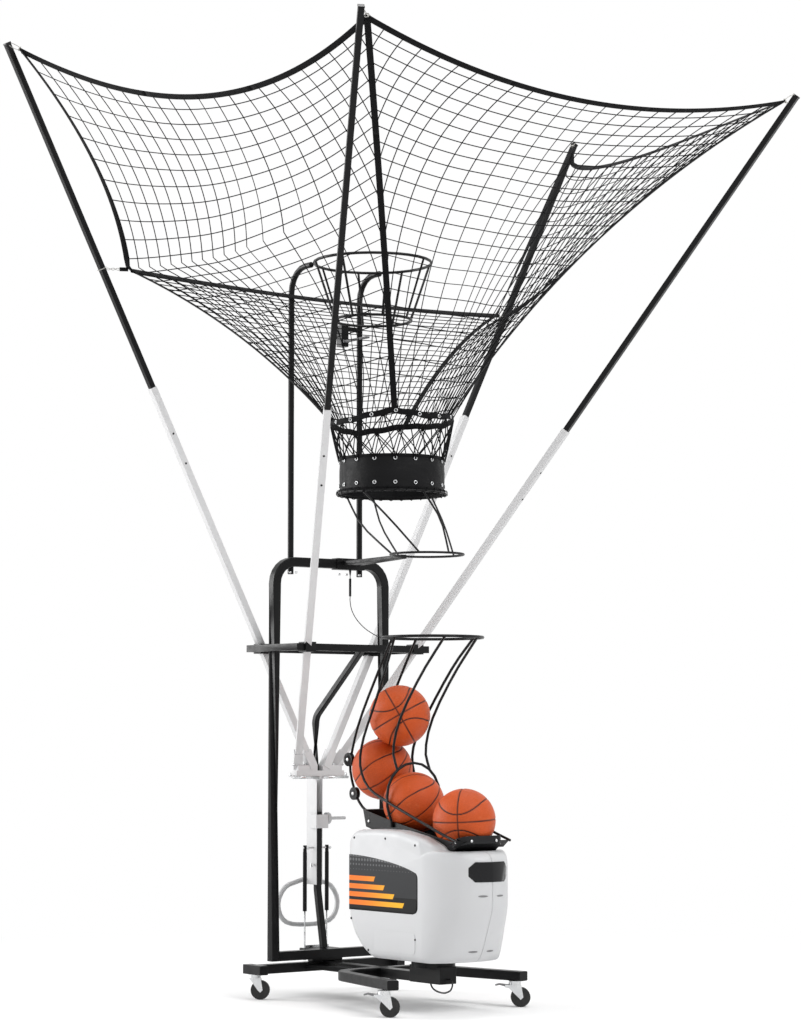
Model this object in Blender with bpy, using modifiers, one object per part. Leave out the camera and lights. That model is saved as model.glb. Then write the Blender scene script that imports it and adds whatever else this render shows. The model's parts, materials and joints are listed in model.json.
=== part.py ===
"""Basketball shooting machine: a caster base, a bent upright frame with a goal, a folding net on four
telescopic poles, and a ball thrower whose head turns under the funnel. Metres, +Z up, front at -Y."""

import math

import bmesh
import bpy
from mathutils import Matrix, Vector

# Clearances
GAP = 0.0003            # between pieces that touch
WELD = 0.00001          # curve caps and seams

# Base on casters
WHEEL_RADIUS = 0.038
WHEEL_WIDTH = 0.028
WHEEL_BORE = 0.0046
AXLE_RADIUS = 0.0042
CASTER_HEIGHT = 0.100
CASTER_TRAIL = 0.022
FORK_RADIUS = 0.024
CHEEK = 0.003
CASTER_HALF_TRACK = 0.318
CASTER_FRONT_Y = -0.825
CASTER_REAR_Y = 0.026
TRAIL_DIRECTION = Vector((0.793, -0.609, 0.0))
BASE_TUBE = 0.037
BASE_BAR_HALF = 0.362
BASE_FOOT_LENGTH = 0.120  # fore and aft, at each end of the crossbar
BASE_FOOT_WIDTH = 0.040
SPINE_WIDTH = 0.050
WISHBONE_WIDTH = 0.048
WISHBONE_CROSS_Y = -0.350
WISHBONE_CORNER_X = 0.215
WISHBONE_END_Y = -0.845
GUSSET_THICKNESS = 0.014
BRACKET_BACK_Y = -0.585
BRACKET_FRONT_Y = -0.775
BRACKET_HALF_WIDTH = 0.040
BRACKET_TOP = 0.166
BEARING_RADIUS = 0.085
WISHBONE_CORNER = 0.110

# Upright frame
FRAME_TUBE = 0.038
FRAME_HALF_WIDTH = 0.273
FRAME_TOP_Z = 1.748
FRAME_CORNER = 0.090
FOOT_HEIGHT = 0.037
LEG_TUBE = 0.025
LEG_FOOT_Y = 0.036
LEG_TOP_Z = 0.735
PAD_THICKNESS = 0.012

# Lifting column
SLEEVE_WIDTH = 0.0300
SLEEVE_WALL = 0.0020
SLEEVE_BACK_Y = 0.137
SLEEVE_BOTTOM_Z = 0.440
SLEEVE_TOP_Z = 0.870
MAST_Y = 0.080
LIFT_TRAVEL = 0.130
CLAMP_Z = 0.697
CLAMP_HEIGHT = 0.055
CLAMP_HALF_WIDTH = 0.030
KNOB_RADIUS = 0.024
KNOB_REACH = 0.128
HUB_BOTTOM_Z = 0.8705
HUB_HEIGHT = 0.033
HUB_HALF_WIDTH = 0.120
HUB_DEPTH = 0.034
HUB_Y = 0.0775
SADDLE_GAP = 0.0135
SADDLE_TOP_Z = 0.925
STRUT_X = 0.055
STRUT_Y = 0.092
STRUT_RADIUS = 0.0085
STRUT_ROD_RADIUS = 0.0032
STRUT_TOP_Z = 0.590
STRUT_BOTTOM_Z = 0.334
STRUT_BORE_DEPTH = 0.026 # below the upper pin
STRUT_ROD_TOP_Z = STRUT_TOP_Z - STRUT_BORE_DEPTH - LIFT_TRAVEL - 0.004
HANDLE_RADIUS = 0.0100
HANDLE_HALF_WIDTH = 0.148
HANDLE_TOP_Z = 0.462
HANDLE_BOTTOM_Z = 0.276

# Telescopic poles
POLE_TUBE = 0.028
POLE_WALL = 0.0027
POLE_TIP_TUBE = 0.022
POLE_TIP_WALL = 0.0020
POLE_LOWER_LENGTH = 1.660
POLE_OVERLAP = 0.160
POLE_TRAVEL = 1.250
SOCKET_LENGTH = 0.045
SOCKET_WALL = 0.004
REAR_TIP = Vector((1.457, 0.126, 3.715))
FRONT_TIP = Vector((1.062, -1.638, 3.540))
REAR_ROOT_X = 0.044
FRONT_ROOT_X = 0.102
POLE_ROOT_Z = 0.943

# Spreader round the upright frame
SPREADER_HALF_WIDTH = 0.331
SPREADER_FRONT_Y = -0.237
SPREADER_BACK_Y = 0.116
SPREADER_Z = 1.396
SPREADER_TUBE = 0.028
GUIDE_SIZE = 0.050
GUIDE_HEIGHT = 0.040
BRACE_TUBE = 0.024
BRACE_Y = 0.096
BRACE_BEND_Z = 1.122

# Goal basket over the funnel
RIM_Y = -0.291
RIM_Z = 2.953
RIM_RADIUS = 0.238
RIM_ROD = 0.006
BASKET_Z = 2.718
BASKET_RADIUS = 0.157
BASKET_ROD = 0.0048
STAVES = 8
POST_X = 0.174
POST_RADIUS = 0.0122
POST_Y = FRAME_TUBE / 2 + GAP + POST_RADIUS
POST_BEND = 0.100
POST_BOTTOM_Z = 1.700
SENSOR_X = 0.086
SENSOR_Z = 2.690
LEVER_Z = 2.676
LEVER_HUB = 0.006
LEVER_LENGTH = 0.150
LEVER_HALF_WIDTH = 0.010
LEVER_HALF_DEPTH = 0.0035

# Collar, chute and net
COLLAR_Y = -0.420
COLLAR_RING_Z = 2.0026
COLLAR_RING_RADIUS = 0.215
COLLAR_BOTTOM_Z = 2.0035
COLLAR_TOP_Z = 2.146
COLLAR_WALL = 0.005
BAND_RADIUS = 0.247
BAND_BOTTOM_Z = 2.262
BAND_HEIGHT = 0.030
BAND_WALL = 0.005
LACES = 12
LACE_RADIUS = 0.0030
LACE_SPREAD = 0.020     # half the angle between two laces' ends
CHUTE_Y = -0.646
CHUTE_Z = FRAME_TOP_Z + 0.003
CHUTE_RADIUS = 0.143
CHUTE_ROD = 0.005
# Each rod of the chute: its angle on the upper ring and on the lower, and how far forward its middle is
CHUTE_RODS = ((110, 119, 0.33), (200, 220, 0.50), (73, 103, 0.33), (267, 268, 0.68), (4, 4, 0.56))
CHUTE_CLAMP_X = 0.092
CHUTE_CLAMP_HALF = 0.070
NET_CORNER = 0.045      # how far a net corner stops short of its pole tip
NET_CLEAR = 0.018       # and how far it stands off the pole
NET_CELLS_WIDE = 9
NET_CELLS_HIGH = 8
NET_CORD = 0.005
NET_HEM = 0.011
LOW_CORNER = Vector((0.940, 0.060, 2.875))
LOW_CORNER_SHARE = 0.56
REAR_BOW = 0.058        # the rear net's free edge passes in front of the goal posts

# Ball head that turns on the base
HEAD_Y = -0.683
HOPPER_Z = 1.426
HOPPER_RADIUS = 0.194
HOPPER_ROD = 0.0055
REAR_ROD_X = 0.060
FRONT_ROD_X = 0.080
RAIL_X = 0.130
ARCH_Y = -0.560
ARCH_RADIUS = 0.130
ARCH_Z = 0.810
ARCH_STEPS = 10
BALL_RADIUS = 0.1203
BODY_HALF_WIDTH = 0.180
BODY_BACK_Y = -0.365
BODY_NOSE_Y = -1.043
BODY_NOSE_DEPTH = 0.219
NOSE_STEPS = 14
BODY_WALL = 0.004
BODY_BOTTOM_Z = 0.192
SLOT_FRONT_Y = -0.952
SLOT_BACK_Y = -0.405
TRAY_HALF_WIDTH = 0.1015
SLOT_HALF_WIDTH = TRAY_HALF_WIDTH + GAP
TRAY_WALL = 0.003
WINDOW_HALF_WIDTH = 0.092
WINDOW_LOW_Z = 0.499
WINDOW_HIGH_Z = 0.574
WINDOW_THICKNESS = 0.0015
ARM_Y = -0.760
ARM_Z = 0.345
ARM_LENGTH = 0.235
ARM_REST = math.radians(12)
MOTOR_RADIUS = 0.045

# The model's origin is under the middle of its footprint
SHIFT_Y = -(FRONT_TIP.y + REAR_TIP.y) / 2

COLOURS = {
    "black": ((0.012, 0.012, 0.013), 0.42, 0.0),
    "white": ((0.80, 0.80, 0.81), 0.40, 0.0),
    "shell": ((0.74, 0.74, 0.75), 0.35, 0.0),
    "zinc": ((0.62, 0.63, 0.65), 0.30, 1.0),
    "rubber": ((0.015, 0.015, 0.016), 0.75, 0.0),
    "grey": ((0.45, 0.45, 0.46), 0.45, 0.0),
    "tray": ((0.045, 0.047, 0.050), 0.50, 0.0),
    "fabric": ((0.010, 0.010, 0.011), 0.90, 0.0),
    "gloss": ((0.006, 0.006, 0.007), 0.12, 0.0),
    "ball": ((0.62, 0.15, 0.05), 0.70, 0.0),
}


def clear_scene():
    for thing in list(bpy.data.objects):
        bpy.data.objects.remove(thing, do_unlink=True)


def material(key):
    found = bpy.data.materials.get(key)
    if found:
        return found
    colour, roughness, metallic = COLOURS[key]
    made = bpy.data.materials.new(key)
    made.use_nodes = True
    shader = made.node_tree.nodes["Principled BSDF"]
    shader.inputs["Base Color"].default_value = (*colour, 1.0)
    shader.inputs["Roughness"].default_value = roughness
    shader.inputs["Metallic"].default_value = metallic
    return made


def new_object(name, mesh, key="black"):
    thing = bpy.data.objects.new(name, mesh)
    parts.objects.link(thing)
    mesh.materials.clear()
    mesh.materials.append(material(key))
    return thing


def from_bmesh(name, shape, key="black"):
    bmesh.ops.recalc_face_normals(shape, faces=shape.faces)
    mesh = bpy.data.meshes.new(name)
    shape.to_mesh(mesh)
    shape.free()
    return new_object(name, mesh, key)


def evaluated_mesh(thing):
    graph = bpy.context.evaluated_depsgraph_get()
    graph.update()
    return bpy.data.meshes.new_from_object(thing.evaluated_get(graph))


def solid_from(thing, name, key):
    """Turn a curve or a modified object into a plain closed mesh in world space, and remove it."""
    bpy.context.view_layer.update()
    mesh = evaluated_mesh(thing)
    mesh.transform(thing.matrix_world)
    bpy.data.objects.remove(thing, do_unlink=True)
    shape = bmesh.new()
    shape.from_mesh(mesh)
    bmesh.ops.remove_doubles(shape, verts=shape.verts, dist=WELD)
    bmesh.ops.dissolve_degenerate(shape, edges=shape.edges, dist=WELD)
    return from_bmesh(name, shape, key)


def box(name, low, high, key="black", bevel=0.0):
    low, high = Vector(low), Vector(high)
    shape = bmesh.new()
    bmesh.ops.create_cube(shape, size=1.0)
    bmesh.ops.scale(shape, vec=high - low, verts=shape.verts)
    bmesh.ops.translate(shape, vec=(low + high) / 2, verts=shape.verts)
    thing = from_bmesh(name, shape, key)
    if bevel:
        add_bevel(thing, bevel)
    return thing


def add_bevel(thing, width, segments=1, limit=0.6):
    rounded = thing.modifiers.new("edges", "BEVEL")
    rounded.width = width
    rounded.segments = segments
    rounded.limit_method = "ANGLE"
    rounded.angle_limit = limit


def aim(direction, up=(0, 0, 1)):
    """A rotation whose Z is the direction and whose X is level."""
    z = Vector(direction).normalized()
    side = Vector(up).cross(z)
    if side.length < 1e-6:
        side = Vector((1, 0, 0))
    x = side.normalized()
    y = z.cross(x)
    return Matrix((x, y, z)).transposed().to_4x4()


def cylinder(name, start, end, radius, key="black", sides=16, end_radius=None):
    start, end = Vector(start), Vector(end)
    shape = bmesh.new()
    bmesh.ops.create_cone(shape, cap_ends=True, segments=sides, radius1=radius,
                          radius2=radius if end_radius is None else end_radius,
                          depth=(end - start).length)
    place = Matrix.Translation((start + end) / 2) @ aim(end - start)
    bmesh.ops.transform(shape, matrix=place, verts=shape.verts)
    return from_bmesh(name, shape, key)


def ball(name, centre, radius, key="ball"):
    shape = bmesh.new()
    bmesh.ops.create_uvsphere(shape, u_segments=16, v_segments=10, radius=radius)
    bmesh.ops.translate(shape, vec=centre, verts=shape.verts)
    return from_bmesh(name, shape, key)


def smooth_route(points, count, closed=False):
    """Points spread along a Catmull-Rom curve through the given ones."""
    points = [Vector(p) for p in points]
    total = len(points)
    spans = total if closed else total - 1
    route = []
    for index in range(count):
        place = spans * index / (count if closed else count - 1)
        span = min(int(place), spans - 1)
        t = place - span
        picks = []
        for offset in (-1, 0, 1, 2):
            at = span + offset
            if closed:
                picks.append(points[at % total])
            elif at < 0:
                picks.append(points[0] * 2 - points[1])
            elif at >= total:
                picks.append(points[-1] * 2 - points[-2])
            else:
                picks.append(points[at])
        a, b, c, d = picks
        route.append(0.5 * (2 * b + (c - a) * t + (2 * a - 5 * b + 4 * c - d) * t ** 2
                            + (3 * b - a - 3 * c + d) * t ** 3))
    return route


def curve_object(name, points, closed=False):
    data = bpy.data.curves.new(name, "CURVE")
    data.dimensions = "3D"
    spline = data.splines.new("POLY")
    spline.points.add(len(points) - 1)
    for knot, point in zip(spline.points, points):
        knot.co = (*point, 1.0)
    spline.use_cyclic_u = closed
    thing = bpy.data.objects.new(name, data)
    parts.objects.link(thing)
    return thing


def rod(name, points, radius, key="black", closed=False, resolution=1):
    """A round rod or cable along a list of points."""
    thing = curve_object(name, points, closed)
    thing.data.bevel_depth = radius
    thing.data.bevel_resolution = resolution
    thing.data.use_fill_caps = not closed
    return solid_from(thing, name, key)


def bar(name, points, width, height, key="black", closed=False, chamfer=0.12):
    """A rectangular tube along a list of points, width across and height up."""
    profile = bpy.data.curves.new(name + " section", "CURVE")
    profile.dimensions = "2D"
    spline = profile.splines.new("POLY")
    cut = chamfer * min(width, height)
    w, h = width / 2, height / 2
    corners = [(w - cut, h), (-w + cut, h), (-w, h - cut), (-w, -h + cut),
               (-w + cut, -h), (w - cut, -h), (w, -h + cut), (w, h - cut)]
    spline.points.add(len(corners) - 1)
    for knot, corner in zip(spline.points, corners):
        knot.co = (*corner, 0.0, 1.0)
    spline.use_cyclic_u = True
    section = bpy.data.objects.new(name + " section", profile)
    parts.objects.link(section)
    thing = curve_object(name, points, closed)
    thing.data.twist_mode = "Z_UP"
    thing.data.bevel_mode = "OBJECT"
    thing.data.bevel_object = section
    thing.data.use_fill_caps = not closed
    made = solid_from(thing, name, key)
    bpy.data.objects.remove(section, do_unlink=True)
    return made


def rounded(corners, radius, steps=5):
    """A path whose inner corners are turned into arcs."""
    corners = [Vector(c) for c in corners]
    path = [corners[0]]
    for before, corner, after in zip(corners, corners[1:], corners[2:]):
        back = (before - corner).normalized()
        ahead = (after - corner).normalized()
        half = back.angle(ahead) / 2
        reach = radius / math.tan(half)
        centre = corner + (back + ahead).normalized() * radius / math.sin(half)
        start = corner + back * reach - centre
        finish = corner + ahead * reach - centre
        sweep = start.angle(finish)
        for step in range(steps + 1):
            share = step / steps
            path.append(centre + (start * math.sin((1 - share) * sweep)
                                  + finish * math.sin(share * sweep)) / math.sin(sweep))
    path.append(corners[-1])
    return path


def prism(name, outline, depth, place, key="black", holes=()):
    """A flat outline, filled, as thick as depth, set by a matrix from its own XY plane."""
    data = bpy.data.curves.new(name, "CURVE")
    data.dimensions = "2D"
    data.fill_mode = "BOTH"
    data.extrude = depth / 2
    for loop in (outline, *holes):
        spline = data.splines.new("POLY")
        spline.points.add(len(loop) - 1)
        for knot, corner in zip(spline.points, loop):
            knot.co = (corner[0], corner[1], 0.0, 1.0)
        spline.use_cyclic_u = True
    thing = bpy.data.objects.new(name, data)
    parts.objects.link(thing)
    thing.matrix_world = place
    return solid_from(thing, name, key)


# Planes for outlines: side is (y, z), front is (x, z)
SIDE = Matrix(((0, 0, 1, 0), (1, 0, 0, 0), (0, 1, 0, 0), (0, 0, 0, 1)))
FRONT = Matrix(((1, 0, 0, 0), (0, 0, -1, 0), (0, 1, 0, 0), (0, 0, 0, 1)))


def combine(base, others, operation):
    for other in others:
        step = base.modifiers.new(operation.lower(), "BOOLEAN")
        step.operation = operation
        step.solver = "EXACT"
        step.object = other
    name = base.name
    key = base.data.materials[0].name
    base.name = name + " draft"
    bpy.context.view_layer.update()
    mesh = evaluated_mesh(base)
    mesh.transform(base.matrix_world)
    for thing in (base, *others):
        bpy.data.objects.remove(thing, do_unlink=True)
    shape = bmesh.new()
    shape.from_mesh(mesh)
    bmesh.ops.remove_doubles(shape, verts=shape.verts, dist=WELD)
    bmesh.ops.dissolve_degenerate(shape, edges=shape.edges, dist=WELD)
    mesh.clear_geometry()
    shape.to_mesh(mesh)
    shape.free()
    return new_object(name, mesh, key)


def joined(base, *others):
    return combine(base, others, "UNION")


def cut(base, *others):
    return combine(base, others, "DIFFERENCE")


def common(base, *others):
    return combine(base, others, "INTERSECT")


def pivot(thing, point):
    """Put a moving piece's origin on its joint."""
    thing.data.transform(Matrix.Translation(-Vector(point)))
    thing.location = point
    return thing


def ring(name, centre, radius, thickness, key="black", around=32, across=8):
    centre = Vector(centre)
    loop = []
    for step in range(around):
        angle = 2 * math.pi * step / around
        loop.append(centre + Vector((radius * math.cos(angle), radius * math.sin(angle), 0)))
    return rod(name, loop, thickness, key, closed=True, resolution=(across - 4) // 4)


def turned(name, profile, centre, key="black", steps=32):
    """A profile of (radius, height) points, from the outer top down, turned about Z."""
    shape = bmesh.new()
    verts = [shape.verts.new((r, 0, z)) for r, z in profile]
    for a, b in zip(verts, verts[1:] + verts[:1]):
        shape.edges.new((a, b))
    mesh = bpy.data.meshes.new(name)
    shape.to_mesh(mesh)
    shape.free()
    thing = new_object(name, mesh, key)
    thing.location = centre
    screw = thing.modifiers.new("turn", "SCREW")
    screw.steps = steps
    screw.render_steps = steps
    screw.use_merge_vertices = True
    screw.merge_threshold = 0.00005
    return solid_from(thing, name, key)


# Base and casters

def make_base():
    top = CASTER_HEIGHT + BASE_TUBE
    middle = CASTER_HEIGHT + BASE_TUBE / 2
    half = BASE_TUBE / 2
    crossbar = box("base_crossbar", (-BASE_BAR_HALF, CASTER_REAR_Y - half, CASTER_HEIGHT),
                   (BASE_BAR_HALF, CASTER_REAR_Y + half, top))
    feet = []
    for sign in (-1, 1):
        near, far = sorted((sign * (BASE_BAR_HALF - BASE_FOOT_WIDTH), sign * BASE_BAR_HALF))
        feet.append(box("foot", (near, CASTER_REAR_Y - BASE_FOOT_LENGTH / 2, CASTER_HEIGHT),
                        (far, CASTER_REAR_Y + BASE_FOOT_LENGTH / 2, top)))
    joined(crossbar, *feet)
    spine_back = CASTER_REAR_Y - half - GAP
    lap = WISHBONE_WIDTH / 2 + GAP
    spine = box("base_spine", (-SPINE_WIDTH / 2, BRACKET_BACK_Y - 0.02, CASTER_HEIGHT),
                (SPINE_WIDTH / 2, spine_back, top))
    bracket = box("bracket", (-BRACKET_HALF_WIDTH, BRACKET_FRONT_Y, CASTER_HEIGHT),
                  (BRACKET_HALF_WIDTH, BRACKET_BACK_Y, BRACKET_TOP))
    bearing = cylinder("bearing", (0, HEAD_Y, BRACKET_TOP - 0.005),
                       (0, HEAD_Y, BODY_BOTTOM_Z - GAP), BEARING_RADIUS, sides=32)
    fan = prism("fan", [(-0.110, spine_back), (0.110, spine_back), (0.045, -0.200), (-0.045, -0.200)],
                GUSSET_THICKNESS, Matrix.Translation((0, 0, middle)))
    spine = joined(spine, bracket, bearing, fan)
    cut(spine, box("lap", (-SPINE_WIDTH, WISHBONE_CROSS_Y - lap, CASTER_HEIGHT - 0.01),
                   (SPINE_WIDTH, WISHBONE_CROSS_Y + lap, middle + GAP)))
    path = rounded([(-CASTER_HALF_TRACK, WISHBONE_END_Y, middle),
                    (-WISHBONE_CORNER_X, WISHBONE_CROSS_Y, middle),
                    (WISHBONE_CORNER_X, WISHBONE_CROSS_Y, middle),
                    (CASTER_HALF_TRACK, WISHBONE_END_Y, middle)], WISHBONE_CORNER)
    wishbone = bar("front_wishbone", path, WISHBONE_WIDTH, BASE_TUBE, chamfer=0.1)
    cut(wishbone, box("lap", (-SPINE_WIDTH / 2 - GAP, WISHBONE_CROSS_Y - 2 * lap, middle),
                      (SPINE_WIDTH / 2 + GAP, WISHBONE_CROSS_Y + 2 * lap, top + 0.01)))


def caster_places():
    return {
        "rear_left": Vector((-CASTER_HALF_TRACK, CASTER_REAR_Y, 0)),
        "rear_right": Vector((CASTER_HALF_TRACK, CASTER_REAR_Y, 0)),
        "front_left": Vector((-CASTER_HALF_TRACK, CASTER_FRONT_Y, 0)),
        "front_right": Vector((CASTER_HALF_TRACK, CASTER_FRONT_Y, 0)),
    }


def make_caster(where, swivel, braked):
    """A fork that turns under its tube, a wheel on the fork's axle and, in front, a brake pedal."""
    trail = TRAIL_DIRECTION.normalized()
    across = Vector((0, 0, 1)).cross(trail)
    axle = swivel + trail * CASTER_TRAIL + Vector((0, 0, WHEEL_RADIUS))
    side = Matrix((( *trail, 0), (0, 0, 1, 0), (*(-across), 0), (0, 0, 0, 1))).transposed()
    top = CASTER_HEIGHT - GAP
    crown = WHEEL_RADIUS * 2 + 0.005
    fork = cylinder("caster_fork_" + where, swivel + Vector((0, 0, crown + 0.002)),
                    swivel + Vector((0, 0, top)), FORK_RADIUS, "zinc", 16)
    cheek = [(-0.022, crown + 0.005), (0.024, crown + 0.005), (0.032, WHEEL_RADIUS),
             (0.022, WHEEL_RADIUS - 0.010), (0.012, WHEEL_RADIUS)]
    if braked:
        cheek = [(-0.038, crown + 0.005), *cheek[1:], (-0.024, crown - 0.008), (-0.038, crown - 0.006)]
    inside = WHEEL_WIDTH / 2 + 0.002
    pieces = []
    for sign in (-1, 1):
        place = Matrix.Translation(swivel + across * sign * (inside + CHEEK / 2)) @ side
        pieces.append(prism("cheek", cheek, CHEEK, place, "zinc"))
    bridge = [(-0.020, crown), (0.022, crown), (0.022, crown + 0.004), (-0.020, crown + 0.004)]
    pieces.append(prism("bridge", bridge, 2 * inside + CHEEK, Matrix.Translation(swivel) @ side, "zinc"))
    reach = across * (inside + CHEEK)
    pieces.append(cylinder("axle", axle - reach * 1.06, axle + reach * 1.06, AXLE_RADIUS, "zinc", 8))
    pivot(joined(fork, *pieces), swivel + Vector((0, 0, top)))
    half = across * WHEEL_WIDTH / 2
    wheel = cylinder("caster_wheel_" + where, axle - half, axle + half, WHEEL_RADIUS, "rubber", 24)
    bore = cylinder("bore", axle - half * 1.5, axle + half * 1.5, WHEEL_BORE, "rubber", 8)
    pivot(cut(wheel, bore), axle)
    if braked:
        hinge = swivel - trail * 0.030 + Vector((0, 0, crown + 0.0005))
        pedal = [(-0.006, -0.003), (0.003, -0.006), (0.0035, 0.004), (-0.030, 0.0085), (-0.046, 0.004),
                 (-0.046, 0.000), (-0.030, 0.0035)]
        place = Matrix.Translation(hinge) @ side
        pivot(prism("caster_brake_" + where, pedal, 2 * (inside - GAP), place, "rubber"), hinge)


# Upright frame, goal posts and lifting column

def make_upright():
    foot_bottom = CASTER_HEIGHT + BASE_TUBE + PAD_THICKNESS + 2 * GAP
    foot_top = foot_bottom + FOOT_HEIGHT
    inner = FRAME_HALF_WIDTH - FRAME_TUBE / 2
    foot = box("frame_foot", (-inner + GAP, -FRAME_TUBE / 2, foot_bottom),
               (inner - GAP, FRAME_TUBE / 2, foot_top))
    shelf = box("shelf", (-0.070, 0.0, foot_top - 0.016), (0.070, STRUT_Y + 0.016, foot_top))
    foot = joined(foot, shelf)
    box("foot_pad", (-0.075, CASTER_REAR_Y - BASE_TUBE / 2, CASTER_HEIGHT + BASE_TUBE + GAP),
        (0.075, CASTER_REAR_Y + BASE_TUBE / 2, foot_bottom - GAP), bevel=0.002)
    path = rounded([(-FRAME_HALF_WIDTH, 0, foot_bottom), (-FRAME_HALF_WIDTH, 0, FRAME_TOP_Z),
                    (FRAME_HALF_WIDTH, 0, FRAME_TOP_Z), (FRAME_HALF_WIDTH, 0, foot_bottom)],
                   FRAME_CORNER, 6)
    bar("upright_frame", path, FRAME_TUBE, FRAME_TUBE, chamfer=0.08)
    leg_path = rounded([(0, LEG_FOOT_Y, foot_top + GAP), (0, MAST_Y, SLEEVE_BOTTOM_Z - 0.02),
                        (0, MAST_Y, LEG_TOP_Z)], 0.10, 4)
    leg = bar("mast_leg", leg_path, LEG_TUBE, LEG_TUBE, chamfer=0.08)
    cut(leg, box("floor", (-0.1, -0.1, 0), (0.1, 0.2, foot_top + GAP)))
    rods = cylinder("strut_rods", (-STRUT_X, STRUT_Y, foot_top + GAP), (-STRUT_X, STRUT_Y, STRUT_ROD_TOP_Z),
                    STRUT_ROD_RADIUS, "zinc", 10)
    other = cylinder("rod", (STRUT_X, STRUT_Y, foot_top + GAP), (STRUT_X, STRUT_Y, STRUT_ROD_TOP_Z),
                     STRUT_ROD_RADIUS, "zinc", 10)
    tie = box("tie", (-STRUT_X - 0.006, STRUT_Y - 0.006, foot_top + GAP),
              (STRUT_X + 0.006, STRUT_Y + 0.006, foot_top + 0.010), "zinc")
    joined(rods, other, tie)


def make_column():
    """The channel that slides on the mast, with its hub, clamp, gas struts and handle."""
    half = SLEEVE_WIDTH / 2
    front = MAST_Y - LEG_TUBE / 2 - GAP
    outline = [(-half, front), (-half, SLEEVE_BACK_Y), (half, SLEEVE_BACK_Y), (half, front),
               (half - SLEEVE_WALL, front), (half - SLEEVE_WALL, SLEEVE_BACK_Y - SLEEVE_WALL),
               (-half + SLEEVE_WALL, SLEEVE_BACK_Y - SLEEVE_WALL), (-half + SLEEVE_WALL, front)]
    height = SLEEVE_TOP_Z - SLEEVE_BOTTOM_Z
    sleeve = prism("mast_sleeve", outline, height,
                   Matrix.Translation((0, 0, SLEEVE_BOTTOM_Z + height / 2)), "white")
    block_front = front - 0.020
    block = box("block", (-CLAMP_HALF_WIDTH, block_front, CLAMP_Z - CLAMP_HEIGHT / 2),
                (CLAMP_HALF_WIDTH, SLEEVE_BACK_Y - 0.030, CLAMP_Z + CLAMP_HEIGHT / 2), "white")
    groove = box("groove", (-half + SLEEVE_WALL, front - 0.001, CLAMP_Z - CLAMP_HEIGHT),
                 (half - SLEEVE_WALL, SLEEVE_BACK_Y - SLEEVE_WALL, CLAMP_Z + CLAMP_HEIGHT), "white")
    block = cut(block, groove)
    pins = []
    for sign in (-1, 1):
        pins.append(cylinder("pin", (sign * (half - 0.0005), STRUT_Y, STRUT_TOP_Z),
                             (sign * (STRUT_X + 0.009), STRUT_Y, STRUT_TOP_Z), 0.004, "white", 10))
    joined(sleeve, block, *pins)
    for side, sign in (("left", -1), ("right", 1)):
        x = sign * STRUT_X
        tube = cylinder("strut_cylinder_" + side, (x, STRUT_Y, STRUT_BOTTOM_Z), (x, STRUT_Y, STRUT_TOP_Z - 0.018),
                        STRUT_RADIUS, "black", 16)
        bore = cylinder("bore", (x, STRUT_Y, STRUT_BOTTOM_Z - 0.01), (x, STRUT_Y, STRUT_TOP_Z - STRUT_BORE_DEPTH),
                        STRUT_ROD_RADIUS + GAP, "black", 10)
        eye = cylinder("eye", (x, STRUT_Y, STRUT_TOP_Z - 0.022), (x, STRUT_Y, STRUT_TOP_Z + 0.010),
                       0.0075, "black", 12)
        hole = cylinder("hole", (x - 0.012, STRUT_Y, STRUT_TOP_Z), (x + 0.012, STRUT_Y, STRUT_TOP_Z),
                        0.004 + GAP, "black", 10)
        cut(joined(tube, eye), bore, hole)
    back = SLEEVE_BACK_Y + HANDLE_RADIUS + GAP
    loop = [(0, back, HANDLE_TOP_Z), (-0.060, back, HANDLE_TOP_Z - 0.012), (-0.115, back, 0.430),
            (-HANDLE_HALF_WIDTH, back, 0.375), (-0.138, back, 0.318), (-0.095, back, 0.284),
            (0, back, HANDLE_BOTTOM_Z)]
    loop += [(-x, y, z) for x, y, z in reversed(loop[1:-1])]
    rod("loop_handle", smooth_route(loop, 30, closed=True), HANDLE_RADIUS, "grey", closed=True)
    start = CLAMP_HALF_WIDTH + GAP
    knob_z = CLAMP_Z + 0.012
    knob_y = block_front + 0.018
    disc = cylinder("clamp_knob", (start, knob_y, knob_z), (start + 0.014, knob_y, knob_z), KNOB_RADIUS,
                    "grey", 20)
    grip = cylinder("grip", (start + 0.010, knob_y, knob_z), (KNOB_REACH, knob_y, knob_z), 0.0065, "grey", 12)
    pivot(joined(disc, grip), (start, knob_y, knob_z))
    plunger_z = 0.520
    plunger = cylinder("lock_plunger", (-half - GAP, MAST_Y, plunger_z), (-half - 0.014, MAST_Y, plunger_z),
                       0.0035, "zinc", 12)
    head = cylinder("head", (-half - 0.010, MAST_Y, plunger_z), (-half - 0.019, MAST_Y, plunger_z),
                    0.0085, "zinc", 14)
    pivot(joined(plunger, head), (-half - GAP, MAST_Y, plunger_z))


def pole_ends():
    """Foot, tip and roll of the four poles: a and d behind, b and c in front."""
    rear_root = Vector((REAR_ROOT_X, HUB_Y, POLE_ROOT_Z))
    front_root = Vector((FRONT_ROOT_X, HUB_Y, POLE_ROOT_Z))
    flip = Vector((-1, 1, 1))
    return {
        "a": (rear_root * flip, REAR_TIP * flip),
        "b": (front_root * flip, FRONT_TIP * flip),
        "c": (front_root, FRONT_TIP),
        "d": (rear_root, REAR_TIP),
    }


def square(half):
    return [(-half, -half), (half, -half), (half, half), (-half, half)]


def along(foot, tip, start, end):
    """Matrix that sets a prism, extruded about its middle, from start to end on a pole's axis."""
    direction = (tip - foot).normalized()
    return Matrix.Translation(foot + direction * (start + end) / 2) @ aim(direction)


def pole_stub(name, foot, tip, start, end, size, key="black", wall=0.0):
    holes = (square(size / 2 - wall),) if wall else ()
    return prism(name, square(size / 2), end - start, along(foot, tip, start, end), key, holes)


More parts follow.
